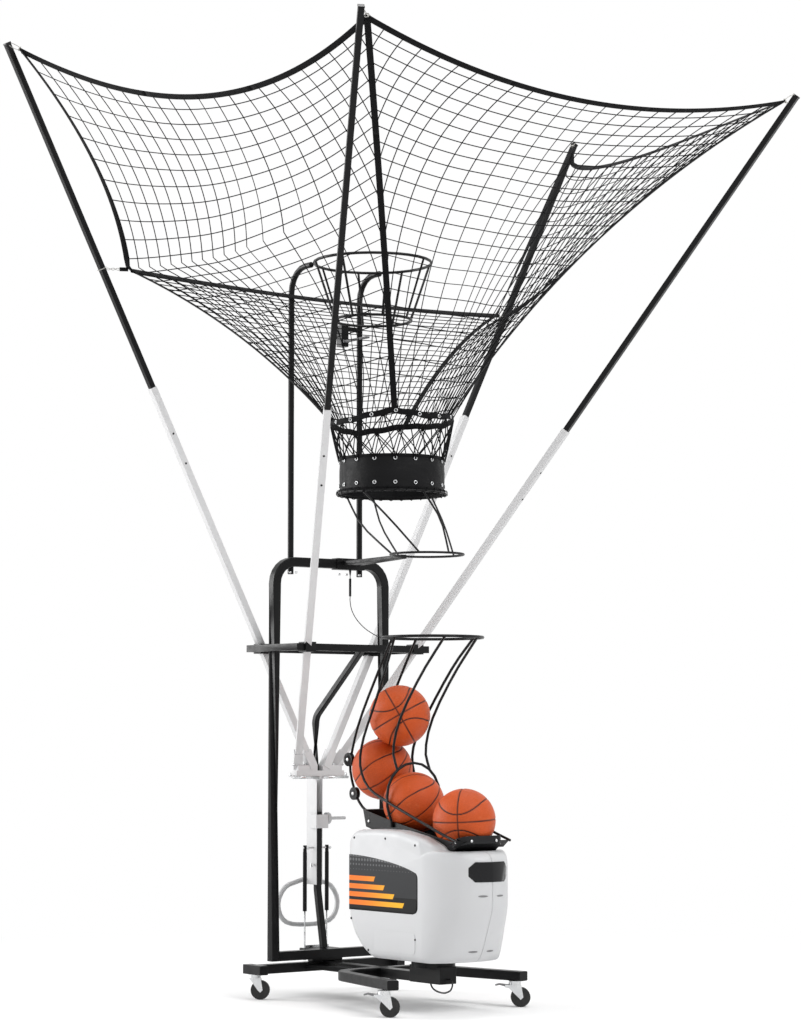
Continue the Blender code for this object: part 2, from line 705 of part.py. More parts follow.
def make_poles():
    sockets = []
    passages = []
    guides = []
    for letter, (foot, tip) in pole_ends().items():
        length = (tip - foot).length
        pole_stub("pole_lower_" + letter, foot, tip, 0, POLE_LOWER_LENGTH, POLE_TUBE, "white", POLE_WALL)
        upper = pole_stub("pole_upper_" + letter, foot, tip, POLE_LOWER_LENGTH - POLE_OVERLAP,
                          length - 0.004, POLE_TIP_TUBE, "black", POLE_TIP_WALL)
        cap = pole_stub("cap", foot, tip, length - 0.006, length, POLE_TIP_TUBE + 0.002, "black")
        pivot(joined(upper, cap), tip)
        wide = POLE_TUBE + 2 * SOCKET_WALL
        sockets.append(pole_stub("socket", foot, tip, -0.030, SOCKET_LENGTH, wide, "white"))
        passages.append(pole_stub("way", foot, tip, -GAP, 1.0, POLE_TUBE + 2 * GAP))
        share = (SPREADER_Z - foot.z) / (tip.z - foot.z)
        at = foot.lerp(tip, share)
        half = Vector((GUIDE_SIZE / 2, GUIDE_SIZE / 2, GUIDE_HEIGHT / 2))
        guides.append(box("guide", at - half, at + half))
    hub = box("pole_hub", (-HUB_HALF_WIDTH, HUB_Y - HUB_DEPTH / 2, HUB_BOTTOM_Z),
              (HUB_HALF_WIDTH, HUB_Y + HUB_DEPTH / 2, HUB_BOTTOM_Z + HUB_HEIGHT), "white")
    saddles = [box("saddle", sorted_low, sorted_high) for sorted_low, sorted_high in (
        ((-0.110, HUB_Y - 0.015, HUB_BOTTOM_Z + 0.02), (-SADDLE_GAP, HUB_Y + 0.015, SADDLE_TOP_Z)),
        ((SADDLE_GAP, HUB_Y - 0.015, HUB_BOTTOM_Z + 0.02), (0.110, HUB_Y + 0.015, SADDLE_TOP_Z)))]
    axle = cylinder("axle", (-HUB_HALF_WIDTH - 0.010, HUB_Y, HUB_BOTTOM_Z + 0.008),
                    (HUB_HALF_WIDTH + 0.010, HUB_Y, HUB_BOTTOM_Z + 0.008), 0.007, "white", 12)
    ways = [pole_stub("way", foot, tip, -GAP, 1.0, POLE_TUBE + 2 * GAP) for foot, tip in pole_ends().values()]
    cut(joined(hub, axle, *saddles, *sockets), *ways)
    make_spreader(guides, passages)


def make_spreader(guides, passages):
    half = SPREADER_TUBE / 2
    x, front, back = SPREADER_HALF_WIDTH - half, SPREADER_FRONT_Y + half, SPREADER_BACK_Y - half
    low, high = SPREADER_Z - half, SPREADER_Z + half
    frame = box("spreader", (-x - half, front - half, low), (x + half, front + half, high))
    rails = [box("rear", (-x - half, back - half, low), (x + half, back + half, high))]
    for sign in (-1, 1):
        rails.append(box("side", (sign * x - half, front, low), (sign * x + half, back, high)))
    brace_foot = HUB_BOTTOM_Z + HUB_HEIGHT + GAP
    path = rounded([(0, BRACE_Y, brace_foot), (0, BRACE_Y, BRACE_BEND_Z), (0, front, SPREADER_Z - 0.004)], 0.06, 4)
    brace = bar("brace", path, BRACE_TUBE, BRACE_TUBE)
    cut(joined(frame, *rails, *guides, brace), *passages)


# Goal, collar, chute and net

def make_goal():
    rim = ring("basket", (0, RIM_Y, RIM_Z), RIM_RADIUS, RIM_ROD, around=28)
    lower = ring("lower ring", (0, RIM_Y, BASKET_Z), BASKET_RADIUS, BASKET_ROD + 0.001, around=24)
    staves = []
    for index in range(STAVES):
        angle = 2 * math.pi * (index + 0.5) / STAVES
        way = Vector((math.cos(angle), math.sin(angle), 0))
        centre = Vector((0, RIM_Y, 0))
        staves.append(cylinder("stave", centre + way * RIM_RADIUS + Vector((0, 0, RIM_Z)),
                               centre + way * BASKET_RADIUS + Vector((0, 0, BASKET_Z)), BASKET_ROD, sides=6))
    joined(rim, lower, *staves)
    reach = math.sqrt((RIM_RADIUS + RIM_ROD) ** 2 - (POST_X - POST_RADIUS) ** 2)
    for side, sign in (("left", -1), ("right", 1)):
        path = rounded([(sign * POST_X, POST_Y, POST_BOTTOM_Z), (sign * POST_X, POST_Y, RIM_Z),
                        (sign * POST_X, RIM_Y + reach + GAP, RIM_Z)], POST_BEND, 5)
        rod("basket_post_" + side, path, POST_RADIUS, resolution=4)
    low, high = SENSOR_Z - 0.035, SENSOR_Z + 0.055
    sensor = box("shot_sensor", (SENSOR_X - 0.018, POST_Y - 0.018, low), (SENSOR_X + 0.018, POST_Y + 0.018, high))
    bracket = box("bracket", (SENSOR_X, POST_Y - 0.008, high - 0.022),
                  (POST_X - POST_RADIUS - GAP, POST_Y + 0.008, high - 0.004))
    joined(sensor, bracket)
    hinge = Vector((SENSOR_X, POST_Y - 0.018 - LEVER_HUB - GAP, LEVER_Z))
    stem = cylinder("sensor_lever", hinge - Vector((0.013, 0, 0)), hinge + Vector((0.013, 0, 0)), LEVER_HUB,
                    "grey", 12)
    tip = hinge - Vector((0, LEVER_LENGTH, 0))
    blade = box("blade", tip - Vector((LEVER_HALF_WIDTH, 0, LEVER_HALF_DEPTH)),
                hinge + Vector((LEVER_HALF_WIDTH, 0, LEVER_HALF_DEPTH)), "grey")
    pivot(joined(stem, blade), hinge)


def make_collar():
    height = COLLAR_TOP_Z - COLLAR_BOTTOM_Z
    outer = COLLAR_RING_RADIUS - CHUTE_ROD - GAP
    centre = (0, COLLAR_Y, 0)
    wall = [(outer, height), (outer, 0), (outer - COLLAR_WALL, 0), (outer - COLLAR_WALL, height)]
    collar = turned("collar", wall, (0, COLLAR_Y, COLLAR_BOTTOM_Z), "fabric", 28)
    hoop = [(BAND_RADIUS, BAND_HEIGHT), (BAND_RADIUS, 0), (BAND_RADIUS - BAND_WALL, 0),
            (BAND_RADIUS - BAND_WALL, BAND_HEIGHT)]
    band = turned("band", hoop, (0, COLLAR_Y, BAND_BOTTOM_Z), "fabric", 28)
    laces = []
    for index in range(2 * LACES):
        spread = LACE_SPREAD if index % 2 else -LACE_SPREAD
        low_angle = math.pi * (index + index % 2) / LACES - spread
        high_angle = math.pi * (index + 1 - index % 2) / LACES + spread
        low = Vector(centre) + Vector((math.cos(low_angle), math.sin(low_angle), 0)) * (outer - COLLAR_WALL / 2)
        high = Vector(centre) + Vector((math.cos(high_angle), math.sin(high_angle), 0)) * (
            BAND_RADIUS - BAND_WALL / 2)
        laces.append(cylinder("lace", low + Vector((0, 0, COLLAR_TOP_Z - 0.006)),
                              high + Vector((0, 0, BAND_BOTTOM_Z + 0.006)), LACE_RADIUS, sides=4))
    joined(collar, band, *laces)


def make_chute():
    clamp_wall = 0.004
    half = FRAME_TUBE / 2
    outer = half + GAP + clamp_wall
    left, right = CHUTE_CLAMP_X - CHUTE_CLAMP_HALF, CHUTE_CLAMP_X + CHUTE_CLAMP_HALF
    clamp = box("chute_clamp", (left, -outer, FRAME_TOP_Z - outer), (right, half, FRAME_TOP_Z + outer))
    arm_end = CHUTE_Y + CHUTE_RADIUS + CHUTE_ROD + GAP
    arm = prism("arm", [(CHUTE_CLAMP_X - 0.045, -outer + 0.001), (CHUTE_CLAMP_X + 0.045, -outer + 0.001),
                        (0.014, arm_end), (-0.014, arm_end)], 0.016,
                Matrix.Translation((0, 0, CHUTE_Z)))
    clamp = joined(clamp, arm)
    cut(clamp, box("tube", (left - 0.01, -half - GAP, FRAME_TOP_Z - half - GAP),
                   (right + 0.01, half + 0.01, FRAME_TOP_Z + half + GAP)))
    lower = ring("chute", (0, CHUTE_Y, CHUTE_Z), CHUTE_RADIUS, CHUTE_ROD, around=28)
    upper = ring("upper ring", (0, COLLAR_Y, COLLAR_RING_Z), COLLAR_RING_RADIUS, CHUTE_ROD, around=28)
    rods = []
    for top_angle, foot_angle, share in CHUTE_RODS:
        high, low = math.radians(top_angle), math.radians(foot_angle)
        top = Vector((math.cos(high) * COLLAR_RING_RADIUS, COLLAR_Y + math.sin(high) * COLLAR_RING_RADIUS,
                      COLLAR_RING_Z))
        foot = Vector((math.cos(low) * CHUTE_RADIUS, CHUTE_Y + math.sin(low) * CHUTE_RADIUS, CHUTE_Z))
        bend = top.lerp(foot, share)
        bend.z = top.z + (foot.z - top.z) * 0.48
        rods.append(rod("rod", smooth_route([top, bend, foot], 6), CHUTE_ROD - 0.001))
    joined(lower, upper, *rods)


def band_point(angle_deg):
    angle = math.radians(angle_deg)
    radius = BAND_RADIUS - BAND_WALL / 2
    return Vector((radius * math.cos(angle), COLLAR_Y + radius * math.sin(angle),
                   BAND_BOTTOM_Z + BAND_HEIGHT + NET_HEM / 2))


def seam(knots):
    """Where a seam lies at a height share v, along straight runs between (share, point) knots."""
    def at(v):
        for (low, a), (high, b) in zip(knots, knots[1:]):
            if v <= high + 1e-9:
                return a.lerp(b, (v - low) / (high - low))
        return knots[-1][1]
    return at


def net_panel(name, first_angle, last_angle, first, last, top_sag, bow=0.0, cells=NET_CELLS_WIDE, crowd=1.25):
    """A square net between two seams, round at the band below and hanging in a bow above."""
    hem = name + " hem"
    shape = bmesh.new()
    rows = []
    for j in range(NET_CELLS_HIGH + 1):
        v = (j / NET_CELLS_HIGH) ** crowd
        start, finish = first(v), last(v)
        inset = (NET_HEM * 1.1) / (finish - start).length
        row = []
        for i in range(cells + 1):
            u = inset + (1 - 2 * inset) * i / cells
            point = start.lerp(finish, u)
            chord = band_point(first_angle).lerp(band_point(last_angle), u)
            arc = band_point(first_angle + (last_angle - first_angle) * u)
            point += (arc - chord) * (1 - v) ** 2
            point.z -= top_sag * 4 * u * (1 - u) * v ** 2
            point.y -= bow * 4 * u * (1 - u) * v
            row.append(shape.verts.new(point))
        rows.append(row)
    for lower, upper in zip(rows, rows[1:]):
        for a, b, c, d in zip(lower, lower[1:], upper[1:], upper):
            shape.faces.new((a, b, c, d))
    mesh = bpy.data.meshes.new(name)
    shape.to_mesh(mesh)
    shape.free()
    panel = new_object(name, mesh, "fabric")
    group = panel.vertex_groups.new(name=hem)
    wide = cells + 1
    for index in range(len(mesh.vertices)):
        edge = index % wide in (0, cells) or index // wide in (0, NET_CELLS_HIGH)
        group.add([index], 1.0 if edge else NET_CORD / NET_HEM, "REPLACE")
    wires = panel.modifiers.new("wires", "WIREFRAME")
    wires.thickness = NET_HEM
    wires.vertex_group = hem
    wires.use_boundary = True
    wires.use_even_offset = False
    made = solid_from(panel, name, "fabric")
    lowest = min(vertex.co.z for vertex in made.data.vertices)
    made.data.transform(Matrix.Translation((0, 0, BAND_BOTTOM_Z + BAND_HEIGHT + GAP - lowest)))


def make_net():
    flip = Vector((-1, 1, 1))
    corners = {}
    for letter, (foot, tip) in pole_ends().items():
        inwards = (band_point(270) - tip).normalized()
        pole = (foot - tip).normalized()
        off_pole = (inwards - pole * inwards.dot(pole)).normalized()
        corners[letter] = tip + inwards * NET_CORNER + off_pole * NET_CLEAR
    low_left, low_right = LOW_CORNER * flip, LOW_CORNER
    share = LOW_CORNER_SHARE
    seam_a = seam([(0, band_point(140)), (share, low_left), (1, corners["a"])])
    seam_d = seam([(0, band_point(40)), (share, low_right), (1, corners["d"])])
    seam_b = seam([(0, band_point(235)), (1, corners["b"])])
    seam_c = seam([(0, band_point(305)), (1, corners["c"])])
    rear_left = seam([(0, band_point(140)), (1, low_left)])
    rear_right = seam([(0, band_point(40)), (1, low_right)])
    net_panel("net_front", 235, 305, seam_b, seam_c, 0.09)
    net_panel("net_right", 305, 400, seam_c, seam_d, 0.16)
    net_panel("net_left", 140, 235, seam_a, seam_b, 0.16)
    net_panel("net_rear", 40, 140, rear_right, rear_left, 0.035, REAR_BOW, 8, 1.0)


def make_cords():
    outer = FRAME_TUBE / 2 + GAP + 0.004
    top = FRAME_TOP_Z - outer - GAP
    x, y = 0.095, -0.012
    gland = cylinder("cable_plug", (x, y, top), (x, y, top - 0.022), 0.0055, "black", 12, 0.0025)
    lead = cylinder("lead", (x, y, top - 0.015), (x, y, top - 0.045), 0.0018, "black", 8)
    shell = cylinder("shell", (x, y, top - 0.035), (x, y, top - 0.108), 0.0050, "black", 12)
    joined(gland, lead, shell)
    start = top - 0.108 - GAP
    leg = FRAME_HALF_WIDTH - FRAME_TUBE / 2 - GAP
    route = [(x, y, start), (x, y, start - 0.020), (0.102, -0.014, 1.560), (0.125, -0.017, 1.522),
             (0.165, -0.019, 1.487), (0.210, -0.020, 1.463), (0.238, -0.020, 1.453), (leg, -0.020, 1.451)]
    rod("sensor_cable", smooth_route(route, 30), 0.0018)
    bottom = CASTER_HEIGHT - GAP
    front = BRACKET_FRONT_Y - GAP
    loop = [(0, -0.668, bottom), (0, -0.669, 0.090), (0, -0.684, 0.076), (0, -0.715, 0.067),
            (0, -0.755, 0.066), (0, -0.788, 0.078), (0, -0.801, 0.099), (0, -0.794, 0.116), (0, front, 0.119)]
    rod("power_cord", smooth_route(loop, 14), 0.0033)


# Head

BODY_SIDE = [(-0.385, 0.663), (-0.420, 0.681), (-0.550, 0.686), (-0.677, 0.683), (-0.800, 0.662),
             (-0.900, 0.632), (-0.940, 0.609), (-0.965, 0.612), (-1.005, 0.612), (-1.032, 0.598),
             (-1.043, 0.572), (-1.043, 0.400), (-1.017, 0.327), (-0.987, 0.250), (-0.964, 0.205),
             (-0.930, 0.192), (-0.520, 0.192), (-0.460, 0.225), (-0.405, 0.280), (-0.372, 0.345),
             (-0.370, 0.640)]


def body_plan():
    """Flat sides and back, and half an ellipse round the nose."""
    half, depth = BODY_HALF_WIDTH, BODY_NOSE_DEPTH
    outline = [(half, BODY_BACK_Y), (-half, BODY_BACK_Y)]
    for step in range(NOSE_STEPS + 1):
        angle = math.pi * (1 + step / NOSE_STEPS)
        outline.append((half * math.cos(angle), BODY_NOSE_Y + depth * (1 + math.sin(angle))))
    return outline


def offset_outline(outline, distance):
    """Move every side of an outline outwards by a distance, whichever way it turns."""
    points = [Vector(p) for p in outline]
    area = sum(a.x * b.y - a.y * b.x for a, b in zip(points, points[1:] + points[:1]))
    sign = 1 if area > 0 else -1
    moved = []
    for before, here, after in zip(points[-1:] + points[:-1], points, points[1:] + points[:1]):
        first = (here - before).normalized()
        second = (after - here).normalized()
        normal_a = Vector((first.y, -first.x)) * sign
        normal_b = Vector((second.y, -second.x)) * sign
        mean = (normal_a + normal_b).normalized()
        moved.append(here + mean * distance / max(mean.dot(normal_a), 0.3))
    return moved


def body_solid(name, grow, key="shell"):
    """The head's casing as a full block, its outlines moved outwards by grow."""
    side = prism(name, offset_outline(BODY_SIDE, grow), 0.5, SIDE, key)
    plan = prism("plan", offset_outline(body_plan(), grow), 1.6, Matrix(), key)
    return common(side, plan)


def make_body():
    for side, sign in (("left", -1), ("right", 1)):
        shell = body_solid("body_" + side, 0.0)
        hollow = body_solid("hollow", -BODY_WALL)
        slot = box("slot", (-SLOT_HALF_WIDTH, SLOT_FRONT_Y, 0.5), (SLOT_HALF_WIDTH, SLOT_BACK_Y, 1.0))
        near, far = sorted((sign * GAP / 2, -sign * 0.4))
        away = box("away", (near, -1.4, 0), (far, 0, 1))
        cut(shell, hollow, slot, away)
    outer = body_solid("body_window", GAP + WINDOW_THICKNESS, "gloss")
    inner = body_solid("inner", GAP, "gloss")
    outer = cut(outer, inner)
    end, slope = WINDOW_HALF_WIDTH, 0.022
    low, high = WINDOW_LOW_Z, WINDOW_HIGH_Z
    outline = [(-end + slope, low), (end - slope, low), (end, low + slope), (end, high - slope),
               (end - slope, high), (-end + slope, high), (-end, high - slope), (-end, low + slope)]
    common(outer, prism("window shape", outline, 0.24, Matrix.Translation((0, BODY_NOSE_Y - 0.06, 0)) @ FRONT))


def make_tray():
    """A trough under the lowest balls, open in front, with a raised lip across its end."""
    half, wall = TRAY_HALF_WIDTH, TRAY_WALL
    side = [(-0.365, 0.758), (-0.385, 0.690), (-0.600, 0.637), (-0.860, 0.588), (-0.910, 0.590),
            (-0.962, 0.629), (-0.962, 0.655), (-0.940, 0.646), (-0.875, 0.655), (-0.560, 0.714)]
    hollow = [(-0.3695, 0.800), (-0.3885, 0.690 + wall), (-0.600, 0.637 + wall), (-0.860, 0.588 + wall),
              (-0.9085, 0.590 + wall), (-0.980, 0.6467), (-0.980, 0.800)]
    tray = cut(prism("hopper_tray", side, 2 * half, SIDE, "tray"),
               prism("hollow", hollow, 2 * (half - wall), SIDE, "tray"))
    lip_half = RAIL_X - HOPPER_ROD - GAP
    lip = prism("lip", [(-0.955, 0.6265), (-0.990, 0.6525), (-0.992, 0.6500), (-0.957, 0.6240)],
                2 * lip_half, SIDE, "tray")
    joined(tray, lip)


def make_cage():
    cage = ring("hopper_cage", (0, HEAD_Y, HOPPER_Z), HOPPER_RADIUS, HOPPER_ROD + 0.0008, around=28)
    pieces = []
    for sign in (-1, 1):
        rear = [(REAR_ROD_X, HEAD_Y + math.sqrt(HOPPER_RADIUS ** 2 - REAR_ROD_X ** 2), HOPPER_Z),
                (REAR_ROD_X, -0.403, 1.288), (REAR_ROD_X, -0.290, 1.110), (REAR_ROD_X, -0.238, 0.988),
                (REAR_ROD_X, -0.225, 0.909), (REAR_ROD_X, -0.262, 0.814), (REAR_ROD_X, -0.310, 0.762),
                (REAR_ROD_X, -0.3605, 0.743)]
        flank = [(0.1938, -0.692, HOPPER_Z), (0.165, -0.605, 1.320), (0.142, -0.490, 1.160),
                 (RAIL_X, -0.402, 1.025), (RAIL_X, -0.386, 0.927), (RAIL_X, -0.438, 0.845),
                 (RAIL_X, -0.555, 0.793), (RAIL_X, -0.700, 0.743), (RAIL_X, -0.879, 0.683),
                 (RAIL_X, -0.990, 0.650)]
        front = [(FRONT_ROD_X, HEAD_Y - math.sqrt(HOPPER_RADIUS ** 2 - FRONT_ROD_X ** 2), HOPPER_Z),
                 (FRONT_ROD_X, -0.711, 1.281), (FRONT_ROD_X, -0.579, 1.114), (FRONT_ROD_X, -0.534, 0.990),
                 (FRONT_ROD_X, ARCH_Y, ARCH_Z + math.sqrt(ARCH_RADIUS ** 2 - FRONT_ROD_X ** 2))]
        for route in (rear, flank, front):
            route = [(sign * x, y, z) for x, y, z in route]
            pieces.append(rod("rod", smooth_route(route, 3 * len(route) - 4), HOPPER_ROD))
    leg_x = TRAY_HALF_WIDTH + HOPPER_ROD + GAP
    arch = [(-leg_x, ARCH_Y, 0.692), (-leg_x - 0.001, ARCH_Y, 0.715), (-0.1195, ARCH_Y, 0.740),
            (-0.1285, ARCH_Y, 0.772)]
    legs = [(-x, y, z) for x, y, z in reversed(arch)]
    for step in range(ARCH_STEPS + 1):
        angle = math.pi * (1 - step / ARCH_STEPS)
        arch.append((ARCH_RADIUS * math.cos(angle), ARCH_Y, ARCH_Z + ARCH_RADIUS * math.sin(angle)))
    arch += legs
    pieces.append(rod("arch", arch, HOPPER_ROD))
    for sign in (-1, 1):
        for y, z, radius in ((-0.2206, 0.951, 0.027), (-0.2575, 0.8165, 0.0255)):
            pieces.append(cylinder("roller", (sign * 0.054, y, z), (sign * 0.070, y, z), radius, sides=20))
    joined(cage, *pieces)


def make_thrower():
    floor = BODY_BOTTOM_Z + BODY_WALL + GAP
    box_low = Vector((0.012, ARM_Y - 0.060, floor))
    gearbox = box("drive_motor", box_low, (0.075, ARM_Y + 0.060, ARM_Z + 0.050), "tray")
    motor = cylinder("motor", (0.044, ARM_Y + 0.050, ARM_Z - 0.075), (0.044, ARM_Y + 0.190, ARM_Z - 0.075),
                     MOTOR_RADIUS, "tray", 24)
    bore = cylinder("bore", (0.0, ARM_Y, ARM_Z), (0.062, ARM_Y, ARM_Z), 0.009 + GAP, sides=16)
    cut(joined(gearbox, motor), bore)
    shaft = cylinder("throw_arm", (-0.030, ARM_Y, ARM_Z), (0.060, ARM_Y, ARM_Z), 0.009, "zinc", 16)
    hub = cylinder("hub", (-0.030, ARM_Y, ARM_Z), (0.006, ARM_Y, ARM_Z), 0.022, "zinc", 20)
    way = Vector((0, math.cos(ARM_REST), math.sin(ARM_REST)))
    centre = Vector((-0.012, ARM_Y, ARM_Z))
    beam = bar("beam", [centre, centre + way * ARM_LENGTH], 0.014, 0.024, "zinc")
    tip = centre + way * ARM_LENGTH
    fork = cylinder("fork", tip - Vector((0.045, 0, 0)), tip + Vector((0.069, 0, 0)), 0.010, "zinc", 14)
    pivot(joined(shaft, hub, beam, fork), (0, ARM_Y, ARM_Z))


def make_head():
    make_body()
    make_tray()
    make_cage()
    make_thrower()
    places = [(-0.4712, 1.1237), (-0.3575, 0.9142), (-0.5610, 0.7840), (-0.8740, 0.7252)]
    for index, (y, z) in enumerate(places):
        ball("ball_%d" % (index + 1), (0, y, z), BALL_RADIUS)


clear_scene()
parts = bpy.data.collections.new("basketball_shooting_machine")
bpy.context.scene.collection.children.link(parts)
make_base()
for place_name, contact in caster_places().items():
    make_caster(place_name, contact - TRAIL_DIRECTION.normalized() * CASTER_TRAIL, "front" in place_name)
make_upright()
make_column()
make_poles()
make_goal()
make_collar()
make_chute()
make_net()
make_cords()
make_head()
machine = bpy.data.objects.new("machine", None)
machine.location = (0, SHIFT_Y, 0)
parts.objects.link(machine)
for thing in list(parts.objects):
    if thing.type == "MESH":
        thing.parent = machine
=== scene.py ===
"""A wheeled basketball shooting machine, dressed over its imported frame.

Shapes are worked out in metres in the drawing's own frame, where the upright's plane is y = 0. SHIFT moves
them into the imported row's frame as their meshes are made.
"""
import json
import math

import bmesh
import bpy
import numpy as np
from bpy.props import FloatProperty, FloatVectorProperty, IntProperty, PointerProperty
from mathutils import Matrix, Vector

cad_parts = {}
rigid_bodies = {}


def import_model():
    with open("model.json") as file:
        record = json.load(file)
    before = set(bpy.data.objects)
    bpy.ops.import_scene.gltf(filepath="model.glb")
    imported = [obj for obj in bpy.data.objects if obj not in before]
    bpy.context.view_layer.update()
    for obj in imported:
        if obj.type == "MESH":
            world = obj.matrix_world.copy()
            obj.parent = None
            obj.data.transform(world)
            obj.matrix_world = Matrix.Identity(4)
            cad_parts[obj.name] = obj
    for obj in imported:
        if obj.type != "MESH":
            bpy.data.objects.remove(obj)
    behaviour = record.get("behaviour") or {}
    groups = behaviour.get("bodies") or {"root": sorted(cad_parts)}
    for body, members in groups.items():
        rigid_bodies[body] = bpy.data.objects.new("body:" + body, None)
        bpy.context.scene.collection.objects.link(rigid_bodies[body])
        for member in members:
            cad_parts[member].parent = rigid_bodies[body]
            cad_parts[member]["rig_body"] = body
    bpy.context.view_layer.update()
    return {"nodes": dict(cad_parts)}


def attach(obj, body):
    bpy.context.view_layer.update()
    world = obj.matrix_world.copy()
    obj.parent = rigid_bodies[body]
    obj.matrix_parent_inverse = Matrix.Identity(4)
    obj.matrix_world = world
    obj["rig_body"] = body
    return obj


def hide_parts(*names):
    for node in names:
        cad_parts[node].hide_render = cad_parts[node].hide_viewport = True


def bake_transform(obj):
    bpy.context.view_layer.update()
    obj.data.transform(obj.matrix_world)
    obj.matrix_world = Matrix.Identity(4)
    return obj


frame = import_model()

bl_info = {
    "name": "Basketball shooting machine",
    "version": (1, 0, 0),
    "blender": (4, 5, 0),
    "location": "3D View > Sidebar > Shooter",
    "description": "Builds the net, balls, casing, finishes and studio of a basketball shooting machine",
    "category": "Object",
}

SHIFT = np.array((0.0, 0.756, 0.0))
UP = np.array((0.0, 0.0, 1.0))
MIRROR = np.array((-1.0, 1.0, 1.0))

# Sizes shared with the frame
BALL_RADIUS = 0.1203
BALLS = ((0.0, -0.4712, 1.1237), (0.0, -0.3575, 0.9142), (0.0, -0.5610, 0.7840), (0.0, -0.8740, 0.7252))
FUNNEL_Y = -0.420
BAND_RADIUS = 0.2445
BAND_Z = 2.2975
REAR_TIP = np.array((1.457, 0.126, 3.715))
FRONT_TIP = np.array((1.062, -1.638, 3.540))
REAR_ROOT = np.array((0.044, 0.0775, 0.943))
FRONT_ROOT = np.array((0.102, 0.0775, 0.943))
LOW_CORNER = np.array((0.940, 0.060, 2.875))
LOW_SHARE = 0.56
HUB_Y = 0.0775
POLES = {"a": (REAR_ROOT * MIRROR, REAR_TIP * MIRROR), "b": (FRONT_ROOT * MIRROR, FRONT_TIP * MIRROR),
         "c": (FRONT_ROOT, FRONT_TIP), "d": (REAR_ROOT, REAR_TIP)}
POLE_HALF = 0.0140
TRAY_HALF_WIDTH = 0.1015
COLLAR_LOW_Z = 2.0040
COLLAR_HIGH_Z = 2.1445
COLLAR_RADIUS = 0.2090
RING_Z = 2.0026
RING_RADIUS = 0.215


# Settings that a user would change

class NetSettings(bpy.types.PropertyGroup):
    cord: FloatProperty(name="Cord", description="Thickness of the net's cord", default=0.0040,
                        min=0.001, max=0.006, unit="LENGTH")
    webbing: FloatProperty(name="Webbing", description="Width of the tape round the net's edge",
                           default=0.024, min=0.01, max=0.05, unit="LENGTH")
    columns: IntProperty(name="Columns", description="Meshes across one panel's upper edge", default=23,
                         min=8, max=40)
    rows: IntProperty(name="Rows", description="Meshes from the upper edge to the band", default=24,
                      min=8, max=40)
    colour: FloatVectorProperty(name="Net colour", description="Colour of cords and tape",
                                default=(0.004, 0.004, 0.0045), subtype="COLOR", min=0, max=1)


class BallSettings(bpy.types.PropertyGroup):
    seam: FloatProperty(name="Seam", description="Width of a ball's black channels", default=0.0050,
                        min=0.002, max=0.012, unit="LENGTH")
    colour: FloatVectorProperty(name="Ball colour", description="Colour of the pebbled rubber",
                                default=(0.600, 0.088, 0.014), subtype="COLOR", min=0, max=1)


class CasingSettings(bpy.types.PropertyGroup):
    edge: FloatProperty(name="Edge", description="Rounding of the casing's long edges", default=0.024,
                        min=0.005, max=0.05, unit="LENGTH")
    colour: FloatVectorProperty(name="Casing colour", description="Colour of the moulded casing",
                                default=(0.575, 0.580, 0.590), subtype="COLOR", min=0, max=1)
    accent: FloatVectorProperty(name="Accent colour", description="Warm end of the side film's bands",
                                default=(0.850, 0.190, 0.020), subtype="COLOR", min=0, max=1)


class FrameSettings(bpy.types.PropertyGroup):
    black: FloatVectorProperty(name="Black coat", description="Colour of the black powder coat",
                               default=(0.006, 0.006, 0.0065), subtype="COLOR", min=0, max=1)
    white: FloatVectorProperty(name="White coat", description="Colour of the white powder coat",
                               default=(0.640, 0.640, 0.645), subtype="COLOR", min=0, max=1)
    bevel: FloatProperty(name="Bevel", description="Rounding of the metal parts' edges", default=0.0012,
                         min=0.0002, max=0.004, unit="LENGTH")


class StageSettings(bpy.types.PropertyGroup):
    lens: FloatProperty(name="Lens", description="Focal length of the camera", default=93.48,
                        min=20, max=200)
    floor: FloatVectorProperty(name="Floor", description="Colour of the studio floor",
                               default=(0.93, 0.93, 0.93), subtype="COLOR", min=0, max=1)


# Meshes

def grid_faces(rows, cols, wrap_rows=False, wrap_cols=False):
    """Quads that join every point of a rows by cols grid with its right, upper-right and upper neighbours."""
    index = np.arange(rows * cols).reshape(rows, cols)
    if wrap_rows:
        index = np.vstack((index, index[:1]))
    if wrap_cols:
        index = np.hstack((index, index[:, :1]))
    return np.stack((index[:-1, :-1], index[:-1, 1:], index[1:, 1:], index[1:, :-1]), -1).reshape(-1, 4)


